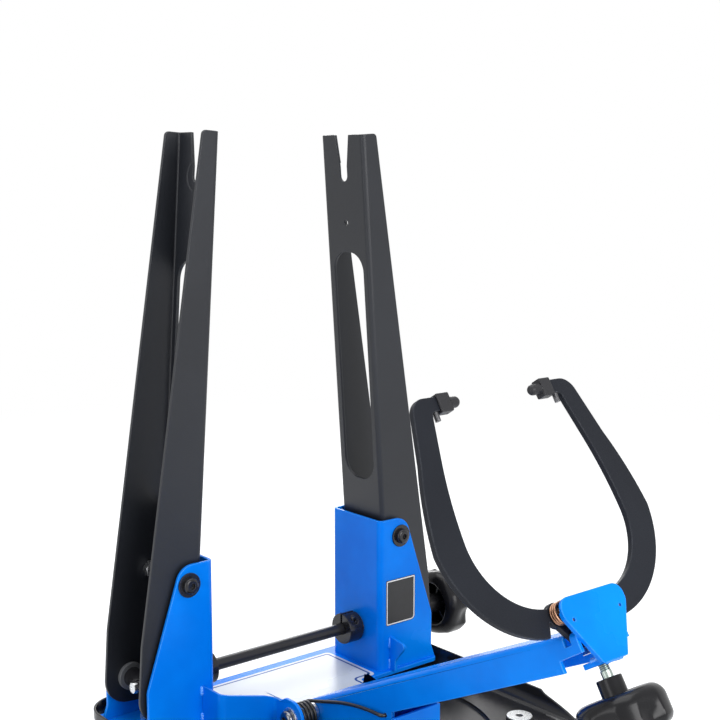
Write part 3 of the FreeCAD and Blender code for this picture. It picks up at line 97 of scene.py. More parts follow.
def mathNode(tree, operation, *values, clamp=False):
    node = tree.nodes.new("ShaderNodeMath")
    node.operation = operation
    node.use_clamp = clamp
    for socket, value in zip(node.inputs, values):
        feed(tree, socket, value)
    return node.outputs[0]


def noiseNode(tree, scale, detail, roughness, vector=None):
    node = tree.nodes.new("ShaderNodeTexNoise")
    node.inputs["Detail"].default_value = detail
    node.inputs["Roughness"].default_value = roughness
    feed(tree, node.inputs["Scale"], scale)
    if vector is None:
        vector = tree.nodes.new("ShaderNodeTexCoord").outputs["Object"]
    tree.links.new(vector, node.inputs["Vector"])
    return node.outputs["Fac"]


def rangeNode(tree, value, low, high, newLow=0.0, newHigh=1.0, smooth=False):
    node = tree.nodes.new("ShaderNodeMapRange")
    node.interpolation_type = "SMOOTHSTEP" if smooth else "LINEAR"
    labels = ("Value", "From Min", "From Max", "To Min", "To Max")
    for label, number in zip(labels, (value, low, high, newLow, newHigh)):
        feed(tree, node.inputs[label], number)
    return node.outputs["Result"]


def shaderNode(tree, kind, **values):
    node = tree.nodes.new(kind)
    for label, value in values.items():
        feed(tree, node.inputs[label], value)
    return node.outputs[0]


def mixedShader(tree, factor, first, second):
    mix = tree.nodes.new("ShaderNodeMixShader")
    for socket, value in zip(mix.inputs, (factor, first, second)):
        tree.links.new(value, socket)
    return mix.outputs[0]


# studio
studio = {
    "floorSize": 8.0,
    "floorColor": (0.86, 0.865, 0.87),
    "floorGlow": 0.34,
    "fadeFrom": 0.75,
    "fadeTo": 1.7,
    "worldColor": (0.96, 0.98, 1.0),
    "worldLight": 0.40,
    "lamps": [
        # name, place, aims at, width, height, watts
        ("frontBox", (-0.15, -1.95, 0.95), (0.0, -0.1, 0.2), 1.3, 1.1, 30.0),
        ("leftStrip", (-1.75, -0.15, 0.75), (0.0, 0.0, 0.25), 0.5, 1.4, 7.0),
        ("topBox", (-0.15, 0.25, 1.9), (0.0, 0.0, 0.0), 1.6, 1.6, 20.0),
        ("backStrip", (1.1, 1.35, 0.9), (0.0, 0.1, 0.25), 0.5, 1.4, 9.0),
    ],
}


def seenAsWhite(tree):
    # one for rays from the camera, off a glossy face or through glass
    path = tree.nodes.new("ShaderNodeLightPath").outputs
    seen = mathNode(tree, "MAXIMUM", path["Is Camera Ray"], path["Is Glossy Ray"])
    return mathNode(tree, "MAXIMUM", seen, path["Is Transmission Ray"])


def makeWorld():
    # seen as plain white, but it lights the stand with less
    world = bpy.data.worlds.new("studioWorld")
    world.use_nodes = True
    tree = world.node_tree
    tree.nodes.clear()
    output = tree.nodes.new("ShaderNodeOutputWorld")
    light = shaderNode(tree, "ShaderNodeBackground", Color=studio["worldColor"],
                       Strength=studio["worldLight"])
    white = shaderNode(tree, "ShaderNodeBackground", Color=(1.0, 1.0, 1.0))
    backdrop = mixedShader(tree, seenAsWhite(tree), light, white)
    tree.links.new(backdrop, output.inputs["Surface"])
    bpy.context.scene.world = world


def makeFloor():
    half = studio["floorSize"] / 2
    corners = [(-half, -half, 0), (half, -half, 0), (half, half, 0), (-half, half, 0)]
    mesh = bpy.data.meshes.new("studioFloor")
    mesh.from_pydata(corners, [], [(0, 1, 2, 3)])
    floor = bpy.data.objects.new("studioFloor", mesh)
    bpy.context.scene.collection.objects.link(floor)
    paper = bpy.data.materials.new("studioPaper")
    paper.use_nodes = True
    tree = paper.node_tree
    tree.nodes.clear()
    output = tree.nodes.new("ShaderNodeOutputMaterial")
    matt = shaderNode(tree, "ShaderNodeBsdfDiffuse", Color=studio["floorColor"])
    none = shaderNode(tree, "ShaderNodeEmission", Strength=0.0)
    glow = shaderNode(tree, "ShaderNodeEmission", Strength=studio["floorGlow"])
    white = shaderNode(tree, "ShaderNodeEmission", Strength=1.0)
    seen = seenAsWhite(tree)
    both = tree.nodes.new("ShaderNodeAddShader")
    tree.links.new(matt, both.inputs[0])
    tree.links.new(mixedShader(tree, seen, none, glow), both.inputs[1])
    # far from the stand the paper turns into the white of the backdrop
    place = tree.nodes.new("ShaderNodeTexCoord")
    away = tree.nodes.new("ShaderNodeVectorMath")
    away.operation = "LENGTH"
    tree.links.new(place.outputs["Object"], away.inputs[0])
    fade = rangeNode(tree, away.outputs["Value"], studio["fadeFrom"], studio["fadeTo"], smooth=True)
    share = mathNode(tree, "MULTIPLY", fade, seen)
    surface = mixedShader(tree, share, both.outputs[0], white)
    tree.links.new(surface, output.inputs["Surface"])
    mesh.materials.append(paper)


def makeLamps():
    for name, place, target, width, height, watts in studio["lamps"]:
        lamp = bpy.data.lights.new(name, "AREA")
        lamp.shape = "RECTANGLE"
        lamp.size = width
        lamp.size_y = height
        lamp.energy = watts
        holder = bpy.data.objects.new(name, lamp)
        holder.location = place
        away = Vector(place) - Vector(target)
        holder.rotation_euler = away.to_track_quat("Z", "Y").to_euler()
        bpy.context.scene.collection.objects.link(holder)


makeWorld()
makeFloor()
makeLamps()
print("studio set")


# shader node groups shared by the finishes
def newGroup(name, inputs, outputs):
    group = bpy.data.node_groups.new(name, "ShaderNodeTree")
    for label, value in inputs.items():
        kind = "NodeSocketVector" if isinstance(value, tuple) else "NodeSocketFloat"
        socket = group.interface.new_socket(label, in_out="INPUT", socket_type=kind)
        socket.default_value = value
    for label in outputs:
        group.interface.new_socket(label, in_out="OUTPUT", socket_type="NodeSocketFloat")
    start = group.nodes.new("NodeGroupInput")
    end = group.nodes.new("NodeGroupOutput")
    return group, start.outputs, end.inputs


def makePowderGrain():
    # the fine pimpled skin of baked powder
    inputs = {"Scale": 1800.0, "Waves": 260.0, "Share": 0.35}
    group, start, end = newGroup("powderGrain", inputs, ["Height", "Speckle"])
    fine = noiseNode(group, start["Scale"], 2.0, 0.6)
    wide = noiseNode(group, start["Waves"], 1.0, 0.4)
    swell = mathNode(group, "MULTIPLY", wide, start["Share"])
    group.links.new(mathNode(group, "ADD", fine, swell), end["Height"])
    group.links.new(rangeNode(group, fine, 0.35, 0.75), end["Speckle"])
    return group


def makeEdgeRubAndHighlight():
    # one on the rounded edges, broken up by noise; the colour laid on it is partly rubbed edges and
    # partly a painted highlight along the bends
    inputs = {"Radius": 0.0012, "Breakup": 90.0, "Amount": 1.0}
    group, start, end = newGroup("edgeRubAndHighlight", inputs, ["Mask"])
    rounded = group.nodes.new("ShaderNodeBevel")
    rounded.samples = 4
    group.links.new(start["Radius"], rounded.inputs["Radius"])
    plain = group.nodes.new("ShaderNodeNewGeometry")
    dot = group.nodes.new("ShaderNodeVectorMath")
    dot.operation = "DOT_PRODUCT"
    group.links.new(rounded.outputs["Normal"], dot.inputs[0])
    group.links.new(plain.outputs["Normal"], dot.inputs[1])
    turn = mathNode(group, "SUBTRACT", 1.0, dot.outputs["Value"], clamp=True)
    band = rangeNode(group, turn, 0.01, 0.16, smooth=True)
    noise = noiseNode(group, start["Breakup"], 4.0, 0.65)
    broken = rangeNode(group, noise, 0.3, 0.6, 0.15, 1.0)
    mask = mathNode(group, "MULTIPLY", band, broken)
    mask = mathNode(group, "MULTIPLY", mask, start["Amount"], clamp=True)
    group.links.new(mask, end["Mask"])
    return group


def makeDriftAndSheen():
    # slow uneven tone over a surface; on the blue paint it spreads wide as painted reflection patches
    inputs = {"Scale": 9.0, "Low": 0.0, "High": 1.0}
    group, start, end = newGroup("toneDriftAndSheen", inputs, ["Value"])
    noise = noiseNode(group, start["Scale"], 4.0, 0.55)
    driftAndSheen = rangeNode(group, noise, 0.3, 0.7, start["Low"], start["High"], smooth=True)
    group.links.new(driftAndSheen, end["Value"])
    return group


def makeDust():
    # a thin film of dust on what faces up
    group, start, end = newGroup("dustFilm", {"Amount": 0.1, "Scale": 60.0}, ["Mask"])
    facing = group.nodes.new("ShaderNodeNewGeometry")
    parts = group.nodes.new("ShaderNodeSeparateXYZ")
    group.links.new(facing.outputs["Normal"], parts.inputs[0])
    up = rangeNode(group, parts.outputs["Z"], 0.55, 1.0)
    patchy = rangeNode(group, noiseNode(group, start["Scale"], 6.0, 0.7), 0.42, 0.72, 0.1, 1.0)
    mask = mathNode(group, "MULTIPLY", up, patchy)
    mask = mathNode(group, "MULTIPLY", mask, start["Amount"], clamp=True)
    group.links.new(mask, end["Mask"])
    return group


def makeTurned():
    # fine drawn or turned lines, stretched along one axis
    inputs = {"Stretch": (40.0, 1600.0, 1600.0), "Strength": 1.0}
    group, start, end = newGroup("drawnLines", inputs, ["Height", "Tone"])
    place = group.nodes.new("ShaderNodeTexCoord")
    stretched = group.nodes.new("ShaderNodeVectorMath")
    stretched.operation = "MULTIPLY"
    group.links.new(place.outputs["Object"], stretched.inputs[0])
    group.links.new(start["Stretch"], stretched.inputs[1])
    lines = noiseNode(group, 1.0, 3.0, 0.6, stretched.outputs[0])
    group.links.new(mathNode(group, "MULTIPLY", lines, start["Strength"]), end["Height"])
    group.links.new(rangeNode(group, lines, 0.3, 0.7), end["Tone"])
    return group


groups = {
    "grain": makePowderGrain(),
    "edge": makeEdgeRubAndHighlight(),
    "driftAndSheen": makeDriftAndSheen(),
    "dust": makeDust(),
    "lines": makeTurned(),
}
print("node groups:", ", ".join(sorted(groups)))


# finishes
# breakup of the edge mask (rubbed edges and painted highlights) and the dust film
wearAndSheen = {
    "paintBreakup": 70.0, "metalBreakup": 200.0,
    "dustScale": 45.0, "dustColor": (0.42, 0.41, 0.39), "dustRough": 0.5,
}


def placed(tree, group, **values):
    node = tree.nodes.new("ShaderNodeGroup")
    node.node_tree = groups[group]
    for label, value in values.items():
        node.inputs[label].default_value = value
    return node.outputs


def newFinish(name, metal, shine):
    material = bpy.data.materials.new(name)
    material.use_nodes = True
    body = material.node_tree.nodes["Principled BSDF"].inputs
    body["Metallic"].default_value = metal
    body["IOR"].default_value = 1.5
    body["Specular IOR Level"].default_value = shine
    return material, material.node_tree, body


def blended(tree, factor, first, second):
    node = tree.nodes.new("ShaderNodeMix")
    node.data_type = "RGBA"
    for label, value in (("Factor", factor), ("A", first), ("B", second)):
        feed(tree, node.inputs[label], value)
    return node.outputs["Result"]


def bumped(tree, body, height, look):
    bump = tree.nodes.new("ShaderNodeBump")
    bump.inputs["Strength"].default_value = look["bump"]
    bump.inputs["Distance"].default_value = look["bumpDepth"]
    tree.links.new(height, bump.inputs["Height"])
    tree.links.new(bump.outputs["Normal"], body["Normal"])


def paintFinish(name, look):
    # baked powder paint: grain, tone drift, rubbed edges and a little dust; the light edge colour is
    # partly a painted highlight, and on the blue the tone drift is painted reflection patches
    material, tree, body = newFinish(name, 0.0, look["shine"])
    grain = placed(tree, "grain", Scale=look["grainScale"], Waves=look["waveScale"],
                   Share=look["waveShare"])
    driftAndSheen = placed(tree, "driftAndSheen", Scale=look["driftScale"])["Value"]
    edge = placed(tree, "edge", Radius=look["edgeRadius"], Breakup=wearAndSheen["paintBreakup"],
                  Amount=look["edgeAmount"])["Mask"]
    dust = placed(tree, "dust", Amount=look["dust"], Scale=wearAndSheen["dustScale"])["Mask"]
    # painted reflection on the blue paint: the drift between its two colours stands in for soft
    # reflection patches
    tone = blended(tree, driftAndSheen, look["color"], look["colorTwo"])
    speckled = mathNode(tree, "MULTIPLY", grain["Speckle"], look["speckle"])
    tone = blended(tree, speckled, tone, look["speckleColor"])
    # painted highlight: a light edge colour on the rounded edges, partly rubbed paint
    tone = blended(tree, edge, tone, look["edgeRubAndHighlightColor"])
    tone = blended(tree, dust, tone, wearAndSheen["dustColor"])
    tree.links.new(tone, body["Base Color"])
    rough = rangeNode(tree, driftAndSheen, 0.0, 1.0, *look["rough"])
    rough = mathNode(tree, "MULTIPLY_ADD", edge, -look["edgeShine"], rough)
    rough = mathNode(tree, "MULTIPLY_ADD", dust, wearAndSheen["dustRough"], rough, clamp=True)
    tree.links.new(rough, body["Roughness"])
    bumped(tree, body, grain["Height"], look)
    return material


def metalFinish(name, look):
    # bare, plated or blackened steel: drawn lines, drift and worn edges; the light edge colour is
    # partly a painted highlight
    material, tree, body = newFinish(name, look["metal"], look["shine"])
    lines = placed(tree, "lines", Stretch=look["stretch"])
    driftAndSheen = placed(tree, "driftAndSheen", Scale=look["driftScale"])["Value"]
    edge = placed(tree, "edge", Radius=look["edgeRadius"], Breakup=wearAndSheen["metalBreakup"],
                  Amount=look["edgeAmount"])["Mask"]
    tone = blended(tree, driftAndSheen, look["color"], look["colorTwo"])
    streak = mathNode(tree, "MULTIPLY", lines["Tone"], look["streak"])
    tone = blended(tree, streak, tone, look["streakColor"])
    # painted highlight: a light edge colour on the rounded edges, partly worn metal
    tone = blended(tree, edge, tone, look["edgeRubAndHighlightColor"])
    tree.links.new(tone, body["Base Color"])
    tree.links.new(rangeNode(tree, lines["Tone"], 0.0, 1.0, *look["rough"]), body["Roughness"])
    bumped(tree, body, lines["Height"], look)
    return material


# what most paints and plastics share; each look below states where it differs
usualPaint = {
    "speckle": 0.1, "waveShare": 0.5, "driftScale": 30.0, "edgeShine": 0.05, "dust": 0.02,
    "bumpDepth": 0.0001,
}
paintLooks = {
    "blackCoat": {
        "slot": "black_coat", "color": (0.0095, 0.011, 0.015), "colorTwo": (0.013, 0.015, 0.02),
        "speckle": 0.3, "speckleColor": (0.024, 0.026, 0.033), "edgeRubAndHighlightColor": (0.055, 0.06, 0.072),
        "rough": (0.36, 0.44), "grainScale": 2200.0, "waveScale": 420.0, "driftScale": 7.0,
        "edgeRadius": 0.0011, "edgeAmount": 0.55, "edgeShine": 0.12, "bump": 0.55,
        "bumpDepth": 0.00016, "shine": 0.42,
    },
    # the pale edge colour is a painted highlight along the arms' rounded edges
    "armBlack": {
        "slot": "black_coat", "color": (0.0095, 0.011, 0.0155), "colorTwo": (0.014, 0.016, 0.022),
        "speckle": 0.3, "speckleColor": (0.03, 0.033, 0.042), "edgeRubAndHighlightColor": (0.16, 0.17, 0.19),
        "rough": (0.34, 0.42), "grainScale": 2200.0, "waveScale": 420.0, "driftScale": 7.0,
        "edgeRadius": 0.001, "edgeAmount": 0.85, "edgeShine": 0.12, "dust": 0.01, "bump": 0.55,
        "bumpDepth": 0.00016, "shine": 0.12,
    },
    "trayCoat": {
        "slot": "black_coat", "color": (0.007, 0.007, 0.009), "colorTwo": (0.009, 0.0095, 0.012),
        "speckle": 0.12, "speckleColor": (0.016, 0.017, 0.021), "edgeRubAndHighlightColor": (0.04, 0.042, 0.05),
        "rough": (0.16, 0.24), "grainScale": 1500.0, "waveScale": 240.0, "waveShare": 0.4,
        "driftScale": 5.0, "edgeRadius": 0.0012, "edgeAmount": 0.4, "dust": 0.012, "bump": 0.2,
        "bumpDepth": 0.00012, "shine": 0.3,
    },
    # the spread from the first to the second colour is painted reflection patches, and the light edge
    # colour a painted highlight along the bends
    "blueCoat": {
        "slot": "blue_coat", "color": (0.0, 0.165, 0.76), "colorTwo": (0.0, 0.262, 1.0),
        "speckle": 0.08, "speckleColor": (0.0, 0.32, 1.0), "edgeRubAndHighlightColor": (0.22, 0.62, 1.0),
        "rough": (0.2, 0.3), "grainScale": 1300.0, "waveScale": 210.0, "waveShare": 0.25,
        "driftScale": 8.0, "edgeRadius": 0.001, "edgeAmount": 0.8, "edgeShine": 0.08, "dust": 0.01,
        "bump": 0.18, "shine": 0.1,
    },
    "weldBlue": {
        "slot": "blue_coat", "color": (0.02, 0.28, 0.96), "colorTwo": (0.05, 0.34, 1.0),
        "speckle": 0.05, "speckleColor": (0.1, 0.4, 1.0), "edgeRubAndHighlightColor": (0.2, 0.6, 1.0),
        "rough": (0.08, 0.14), "grainScale": 900.0, "waveScale": 160.0, "waveShare": 0.6,
        "edgeRadius": 0.0004, "edgeAmount": 0.2, "edgeShine": 0.02, "dust": 0.0, "bump": 0.2,
        "shine": 1.0,
    },
    "gripPlastic": {
        "slot": "moulded_grip", "color": (0.006, 0.006, 0.007), "colorTwo": (0.008, 0.008, 0.01),
        "speckleColor": (0.012, 0.012, 0.015), "edgeRubAndHighlightColor": (0.03, 0.03, 0.034),
        "rough": (0.2, 0.28), "grainScale": 1100.0, "waveScale": 150.0, "driftScale": 18.0,
        "edgeRadius": 0.0008, "edgeAmount": 0.25, "edgeShine": 0.02, "dust": 0.015, "bump": 0.16,
        "shine": 0.24,
    },
    "tipPlastic": {
        "slot": "tip_plastic", "color": (0.012, 0.012, 0.014), "colorTwo": (0.016, 0.016, 0.019),
        "speckle": 0.25, "speckleColor": (0.05, 0.05, 0.055), "edgeRubAndHighlightColor": (0.08, 0.08, 0.085),
        "rough": (0.38, 0.5), "grainScale": 2600.0, "waveScale": 700.0, "edgeRadius": 0.0006,
        "edgeAmount": 0.4, "edgeShine": 0.08, "bump": 0.5, "shine": 0.3,
    },
    "footRubber": {
        "slot": "foot_rubber", "color": (0.014, 0.014, 0.014), "colorTwo": (0.022, 0.022, 0.022),
        "speckle": 0.3, "speckleColor": (0.04, 0.04, 0.04), "edgeRubAndHighlightColor": (0.06, 0.06, 0.06),
        "rough": (0.68, 0.85), "grainScale": 1600.0, "waveScale": 300.0, "waveShare": 0.6,
        "driftScale": 25.0, "edgeRadius": 0.0008, "edgeAmount": 0.4, "dust": 0.05, "bump": 0.7,
        "bumpDepth": 0.00015, "shine": 0.25,
    },
    "nylonBlack": {
        "slot": "bush_nylon", "color": (0.03, 0.03, 0.031), "colorTwo": (0.04, 0.04, 0.041),
        "speckle": 0.2, "speckleColor": (0.06, 0.06, 0.06), "edgeRubAndHighlightColor": (0.09, 0.09, 0.09),
        "rough": (0.4, 0.5), "grainScale": 1500.0, "waveScale": 400.0, "driftScale": 40.0,
        "edgeRadius": 0.0005, "edgeAmount": 0.3, "bump": 0.3, "shine": 0.35,
    },
    "ringGrey": {
        "slot": "zinc_steel", "color": (0.11, 0.115, 0.125), "colorTwo": (0.14, 0.145, 0.155),
        "speckle": 0.2, "speckleColor": (0.18, 0.18, 0.19), "edgeRubAndHighlightColor": (0.26, 0.26, 0.27),
        "rough": (0.3, 0.4), "grainScale": 1500.0, "waveScale": 400.0, "driftScale": 40.0,
        "edgeRadius": 0.0005, "edgeAmount": 0.5, "bump": 0.25, "shine": 0.4,
    },
    "labelFilm": {
        "slot": "label_white", "color": (0.6, 0.65, 0.71), "colorTwo": (0.66, 0.7, 0.76),
        "speckle": 0.04, "speckleColor": (0.7, 0.74, 0.8), "edgeRubAndHighlightColor": (0.9, 0.93, 0.97),
        "rough": (0.24, 0.32), "grainScale": 900.0, "waveScale": 90.0, "waveShare": 1.0,
        "driftScale": 8.0, "edgeRadius": 0.0004, "edgeAmount": 0.3, "edgeShine": 0.02,
        "bump": 0.08, "shine": 0.3,
    },
    "labelInk": {
        "slot": "label_white", "color": (0.0, 0.055, 0.27), "colorTwo": (0.0, 0.065, 0.32),
        "speckleColor": (0.02, 0.09, 0.36), "edgeRubAndHighlightColor": (0.1, 0.25, 0.7), "rough": (0.28, 0.34),
        "grainScale": 900.0, "waveScale": 90.0, "waveShare": 1.0, "driftScale": 8.0,
        "edgeRadius": 0.0002, "edgeAmount": 0.0, "edgeShine": 0.0, "dust": 0.01, "bump": 0.08,
        "shine": 0.2,
    },
    "plateBlack": {
        "slot": "plate_black", "color": (0.016, 0.016, 0.017), "colorTwo": (0.024, 0.024, 0.026),
        "speckleColor": (0.05, 0.05, 0.05), "edgeRubAndHighlightColor": (0.5, 0.5, 0.5), "rough": (0.3, 0.38),
        "grainScale": 1400.0, "waveScale": 200.0, "waveShare": 0.8, "edgeRadius": 0.0003,
        "edgeAmount": 0.5, "edgeShine": 0.1, "dust": 0.01, "bump": 0.12, "shine": 0.35,
    },
    "plateEdge": {
        "slot": "plate_black", "color": (0.78, 0.78, 0.77), "colorTwo": (0.86, 0.86, 0.85),
        "speckleColor": (0.6, 0.6, 0.6), "edgeRubAndHighlightColor": (0.9, 0.9, 0.9), "rough": (0.3, 0.36),
        "grainScale": 1400.0, "waveScale": 200.0, "waveShare": 0.8, "edgeRadius": 0.0002,
        "edgeAmount": 0.0, "edgeShine": 0.0, "dust": 0.01, "bump": 0.1, "shine": 0.35,
    },
}

# the same for metals
usualMetal = {
    "metal": 1.0, "driftScale": 60.0, "edgeRadius": 0.0003, "bump": 0.12, "bumpDepth": 0.0001,
    "shine": 0.5,
}
metalLooks = {
    "zincSteel": {
        "slot": "zinc_steel", "color": (0.6, 0.62, 0.64), "colorTwo": (0.72, 0.73, 0.74),
        "streak": 0.3, "streakColor": (0.5, 0.52, 0.55), "edgeRubAndHighlightColor": (0.86, 0.87, 0.88),
        "rough": (0.2, 0.36), "stretch": (900.0, 900.0, 900.0), "driftScale": 40.0,
        "edgeRadius": 0.0005, "edgeAmount": 0.5,
    },
    "studSteel": {
        "slot": "zinc_steel", "color": (0.36, 0.42, 0.39), "colorTwo": (0.5, 0.56, 0.53),
        "streak": 0.4, "streakColor": (0.2, 0.25, 0.23), "edgeRubAndHighlightColor": (0.72, 0.77, 0.74),
        "rough": (0.22, 0.38), "stretch": (900.0, 900.0, 900.0), "edgeAmount": 0.4, "bump": 0.15,
    },
    "blackSteel": {
        "slot": "black_steel", "color": (0.008, 0.008, 0.01), "colorTwo": (0.013, 0.013, 0.016),
        "metal": 0.0, "streak": 0.35, "streakColor": (0.022, 0.022, 0.026),
        "edgeRubAndHighlightColor": (0.16, 0.16, 0.17), "rough": (0.15, 0.26), "stretch": (700.0, 700.0, 700.0),
        "driftScale": 35.0, "edgeRadius": 0.0006, "edgeAmount": 0.6, "bump": 0.15, "shine": 0.4,
    },
    "blackRod": {
        "slot": "black_steel", "color": (0.01, 0.01, 0.012), "colorTwo": (0.014, 0.014, 0.017),
        "metal": 0.0, "streak": 0.4, "streakColor": (0.022, 0.022, 0.026),
        "edgeRubAndHighlightColor": (0.12, 0.12, 0.13), "rough": (0.28, 0.4), "stretch": (30.0, 1500.0, 1500.0),
        "driftScale": 20.0, "edgeRadius": 0.0004, "edgeAmount": 0.3, "shine": 0.35,
    },
    "springSteel": {
        "slot": "spring_steel", "color": (0.009, 0.009, 0.01), "colorTwo": (0.013, 0.013, 0.015),
        "metal": 0.0, "streak": 0.3, "streakColor": (0.022, 0.022, 0.025),
        "edgeRubAndHighlightColor": (0.1, 0.1, 0.1), "rough": (0.26, 0.36), "stretch": (500.0, 500.0, 500.0),
        "driftScale": 30.0, "edgeAmount": 0.2,
    },
    "copperWire": {
        "slot": "copper_spring", "color": (0.3, 0.165, 0.105), "colorTwo": (0.4, 0.23, 0.15),
        "streak": 0.35, "streakColor": (0.16, 0.085, 0.055), "edgeRubAndHighlightColor": (0.55, 0.36, 0.26),
        "rough": (0.22, 0.36), "stretch": (700.0, 700.0, 700.0), "edgeAmount": 0.2,
    },
    "bronzeBush": {
        "slot": "bush_bronze", "color": (0.5, 0.34, 0.17), "colorTwo": (0.6, 0.42, 0.24),
        "streak": 0.4, "streakColor": (0.34, 0.22, 0.11), "edgeRubAndHighlightColor": (0.7, 0.52, 0.32),
        "rough": (0.34, 0.5), "stretch": (1200.0, 1200.0, 1200.0), "edgeRadius": 0.0004,
        "edgeAmount": 0.3, "bump": 0.25,
    },
    "darkChrome": {
        "slot": "black_steel", "color": (0.17, 0.175, 0.19), "colorTwo": (0.24, 0.245, 0.26),
        "streak": 0.3, "streakColor": (0.1, 0.1, 0.11), "edgeRubAndHighlightColor": (0.45, 0.46, 0.48),
        "rough": (0.14, 0.26), "stretch": (700.0, 700.0, 700.0), "driftScale": 50.0,
        "edgeRadius": 0.0006, "edgeAmount": 0.6,
    },
    "darkScrew": {
        "slot": "tip_screw_steel", "color": (0.07, 0.07, 0.075), "colorTwo": (0.11, 0.11, 0.115),
        "metal": 0.8, "streak": 0.35, "streakColor": (0.18, 0.18, 0.19),
        "edgeRubAndHighlightColor": (0.32, 0.32, 0.34), "rough": (0.26, 0.4), "stretch": (900.0, 900.0, 900.0),
        "edgeAmount": 0.6, "bump": 0.15,
    },
}
paintLooks = {name: usualPaint | look for name, look in paintLooks.items()}
metalLooks = {name: usualMetal | look for name, look in metalLooks.items()}

finishes = {name: paintFinish(name, look) for name, look in paintLooks.items()}
finishes.update({name: metalFinish(name, look) for name, look in metalLooks.items()})
print("finishes:", len(finishes))


# shapes
softening = {
    "weld": 0.000002, "flatDegrees": 0.6, "segments": 2, "angle": 38.0, "sharp": 180.0, "weight": 80,
}


def newPiece(name, mesh, body, finish, stands=()):
    piece = bpy.data.objects.new(name, mesh)
    bpy.context.scene.collection.objects.link(piece)
    mesh.materials.append(finishes[finish])
    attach(piece, body)
    if stands:
        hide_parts(*stands)
    return piece


def meshFrom(name, bm, smoothDegrees=35.0):
    mesh = bpy.data.meshes.new(name)
    bmesh.ops.recalc_face_normals(bm, faces=bm.faces)
    bm.to_mesh(mesh)
    bm.free()
    for face in mesh.polygons:
        face.use_smooth = True
    mesh.set_sharp_from_angle(angle=math.radians(smoothDegrees))
    return mesh


def weldedMesh(node):
    bm = bmesh.new()
    bm.from_mesh(frame["nodes"][node].data)
    bmesh.ops.remove_doubles(bm, verts=bm.verts, dist=softening["weld"])
    return bm


def softened(node, finish, edge, angle=softening["angle"], sharp=None):
    # a welded copy of a node with its sharp edges rolled over
    bm = weldedMesh(node)
    flat = math.radians(softening["flatDegrees"])
    bmesh.ops.dissolve_limit(bm, angle_limit=flat, verts=bm.verts, edges=bm.edges)
    mesh = meshFrom(node + "_skin", bm, sharp or softening["sharp"])
    piece = newPiece(node + "_skin", mesh, frame["nodes"][node]["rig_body"], finish, [node])
    if edge > 0:
        roll = piece.modifiers.new("rolledEdges", "BEVEL")
        roll.width = edge
        roll.segments = softening["segments"]
        roll.limit_method = "ANGLE"
        roll.angle_limit = math.radians(angle)
        roll.use_clamp_overlap = False
        roll.miter_outer = "MITER_ARC"
    even = piece.modifiers.new("evenShading", "WEIGHTED_NORMAL")
    even.weight = softening["weight"]
    even.keep_sharp = sharp is not None


def dressed(node, finish):
    # a node's own mesh in a finish
    piece = frame["nodes"][node]
    piece.data.materials.clear()
    piece.data.materials.append(finishes[finish])


def ringFaces(bm, first, second):
    count = len(first)
    for i in range(count):
        j = (i + 1) % count
        bm.faces.new((first[i], first[j], second[j], second[i]))


def axesAlong(direction):
    axis = Vector(direction).normalized()
    side = axis.orthogonal().normalized()
    return axis, side, axis.cross(side)


def lathed(bm, middle, direction, steps, rows, spotAt, closed=False):
    # rings of vertices round an axis; spotAt gives the radius and height for a row and a turn
    axis, side, other = axesAlong(direction)
    rings = []
    for row in range(rows):
        ringVerts = []
        for i in range(steps):
            turn = 2 * math.pi * i / steps
            radius, height = spotAt(row, turn)
            outward = side * math.cos(turn) + other * math.sin(turn)
            ringVerts.append(bm.verts.new(Vector(middle) + axis * height + outward * radius))
        rings.append(ringVerts)
    for a, b in zip(rings, rings[1:]):
        ringFaces(bm, a, b)
    if closed:
        ringFaces(bm, rings[-1], rings[0])
    return rings


def capped(bm, rings):
    bm.faces.new(rings[0])
    bm.faces.new(rings[-1])


def jointNamed(name):
    return next(joint for joint in frame["joints"] if joint["name"] == name)


print("shape tools ready")


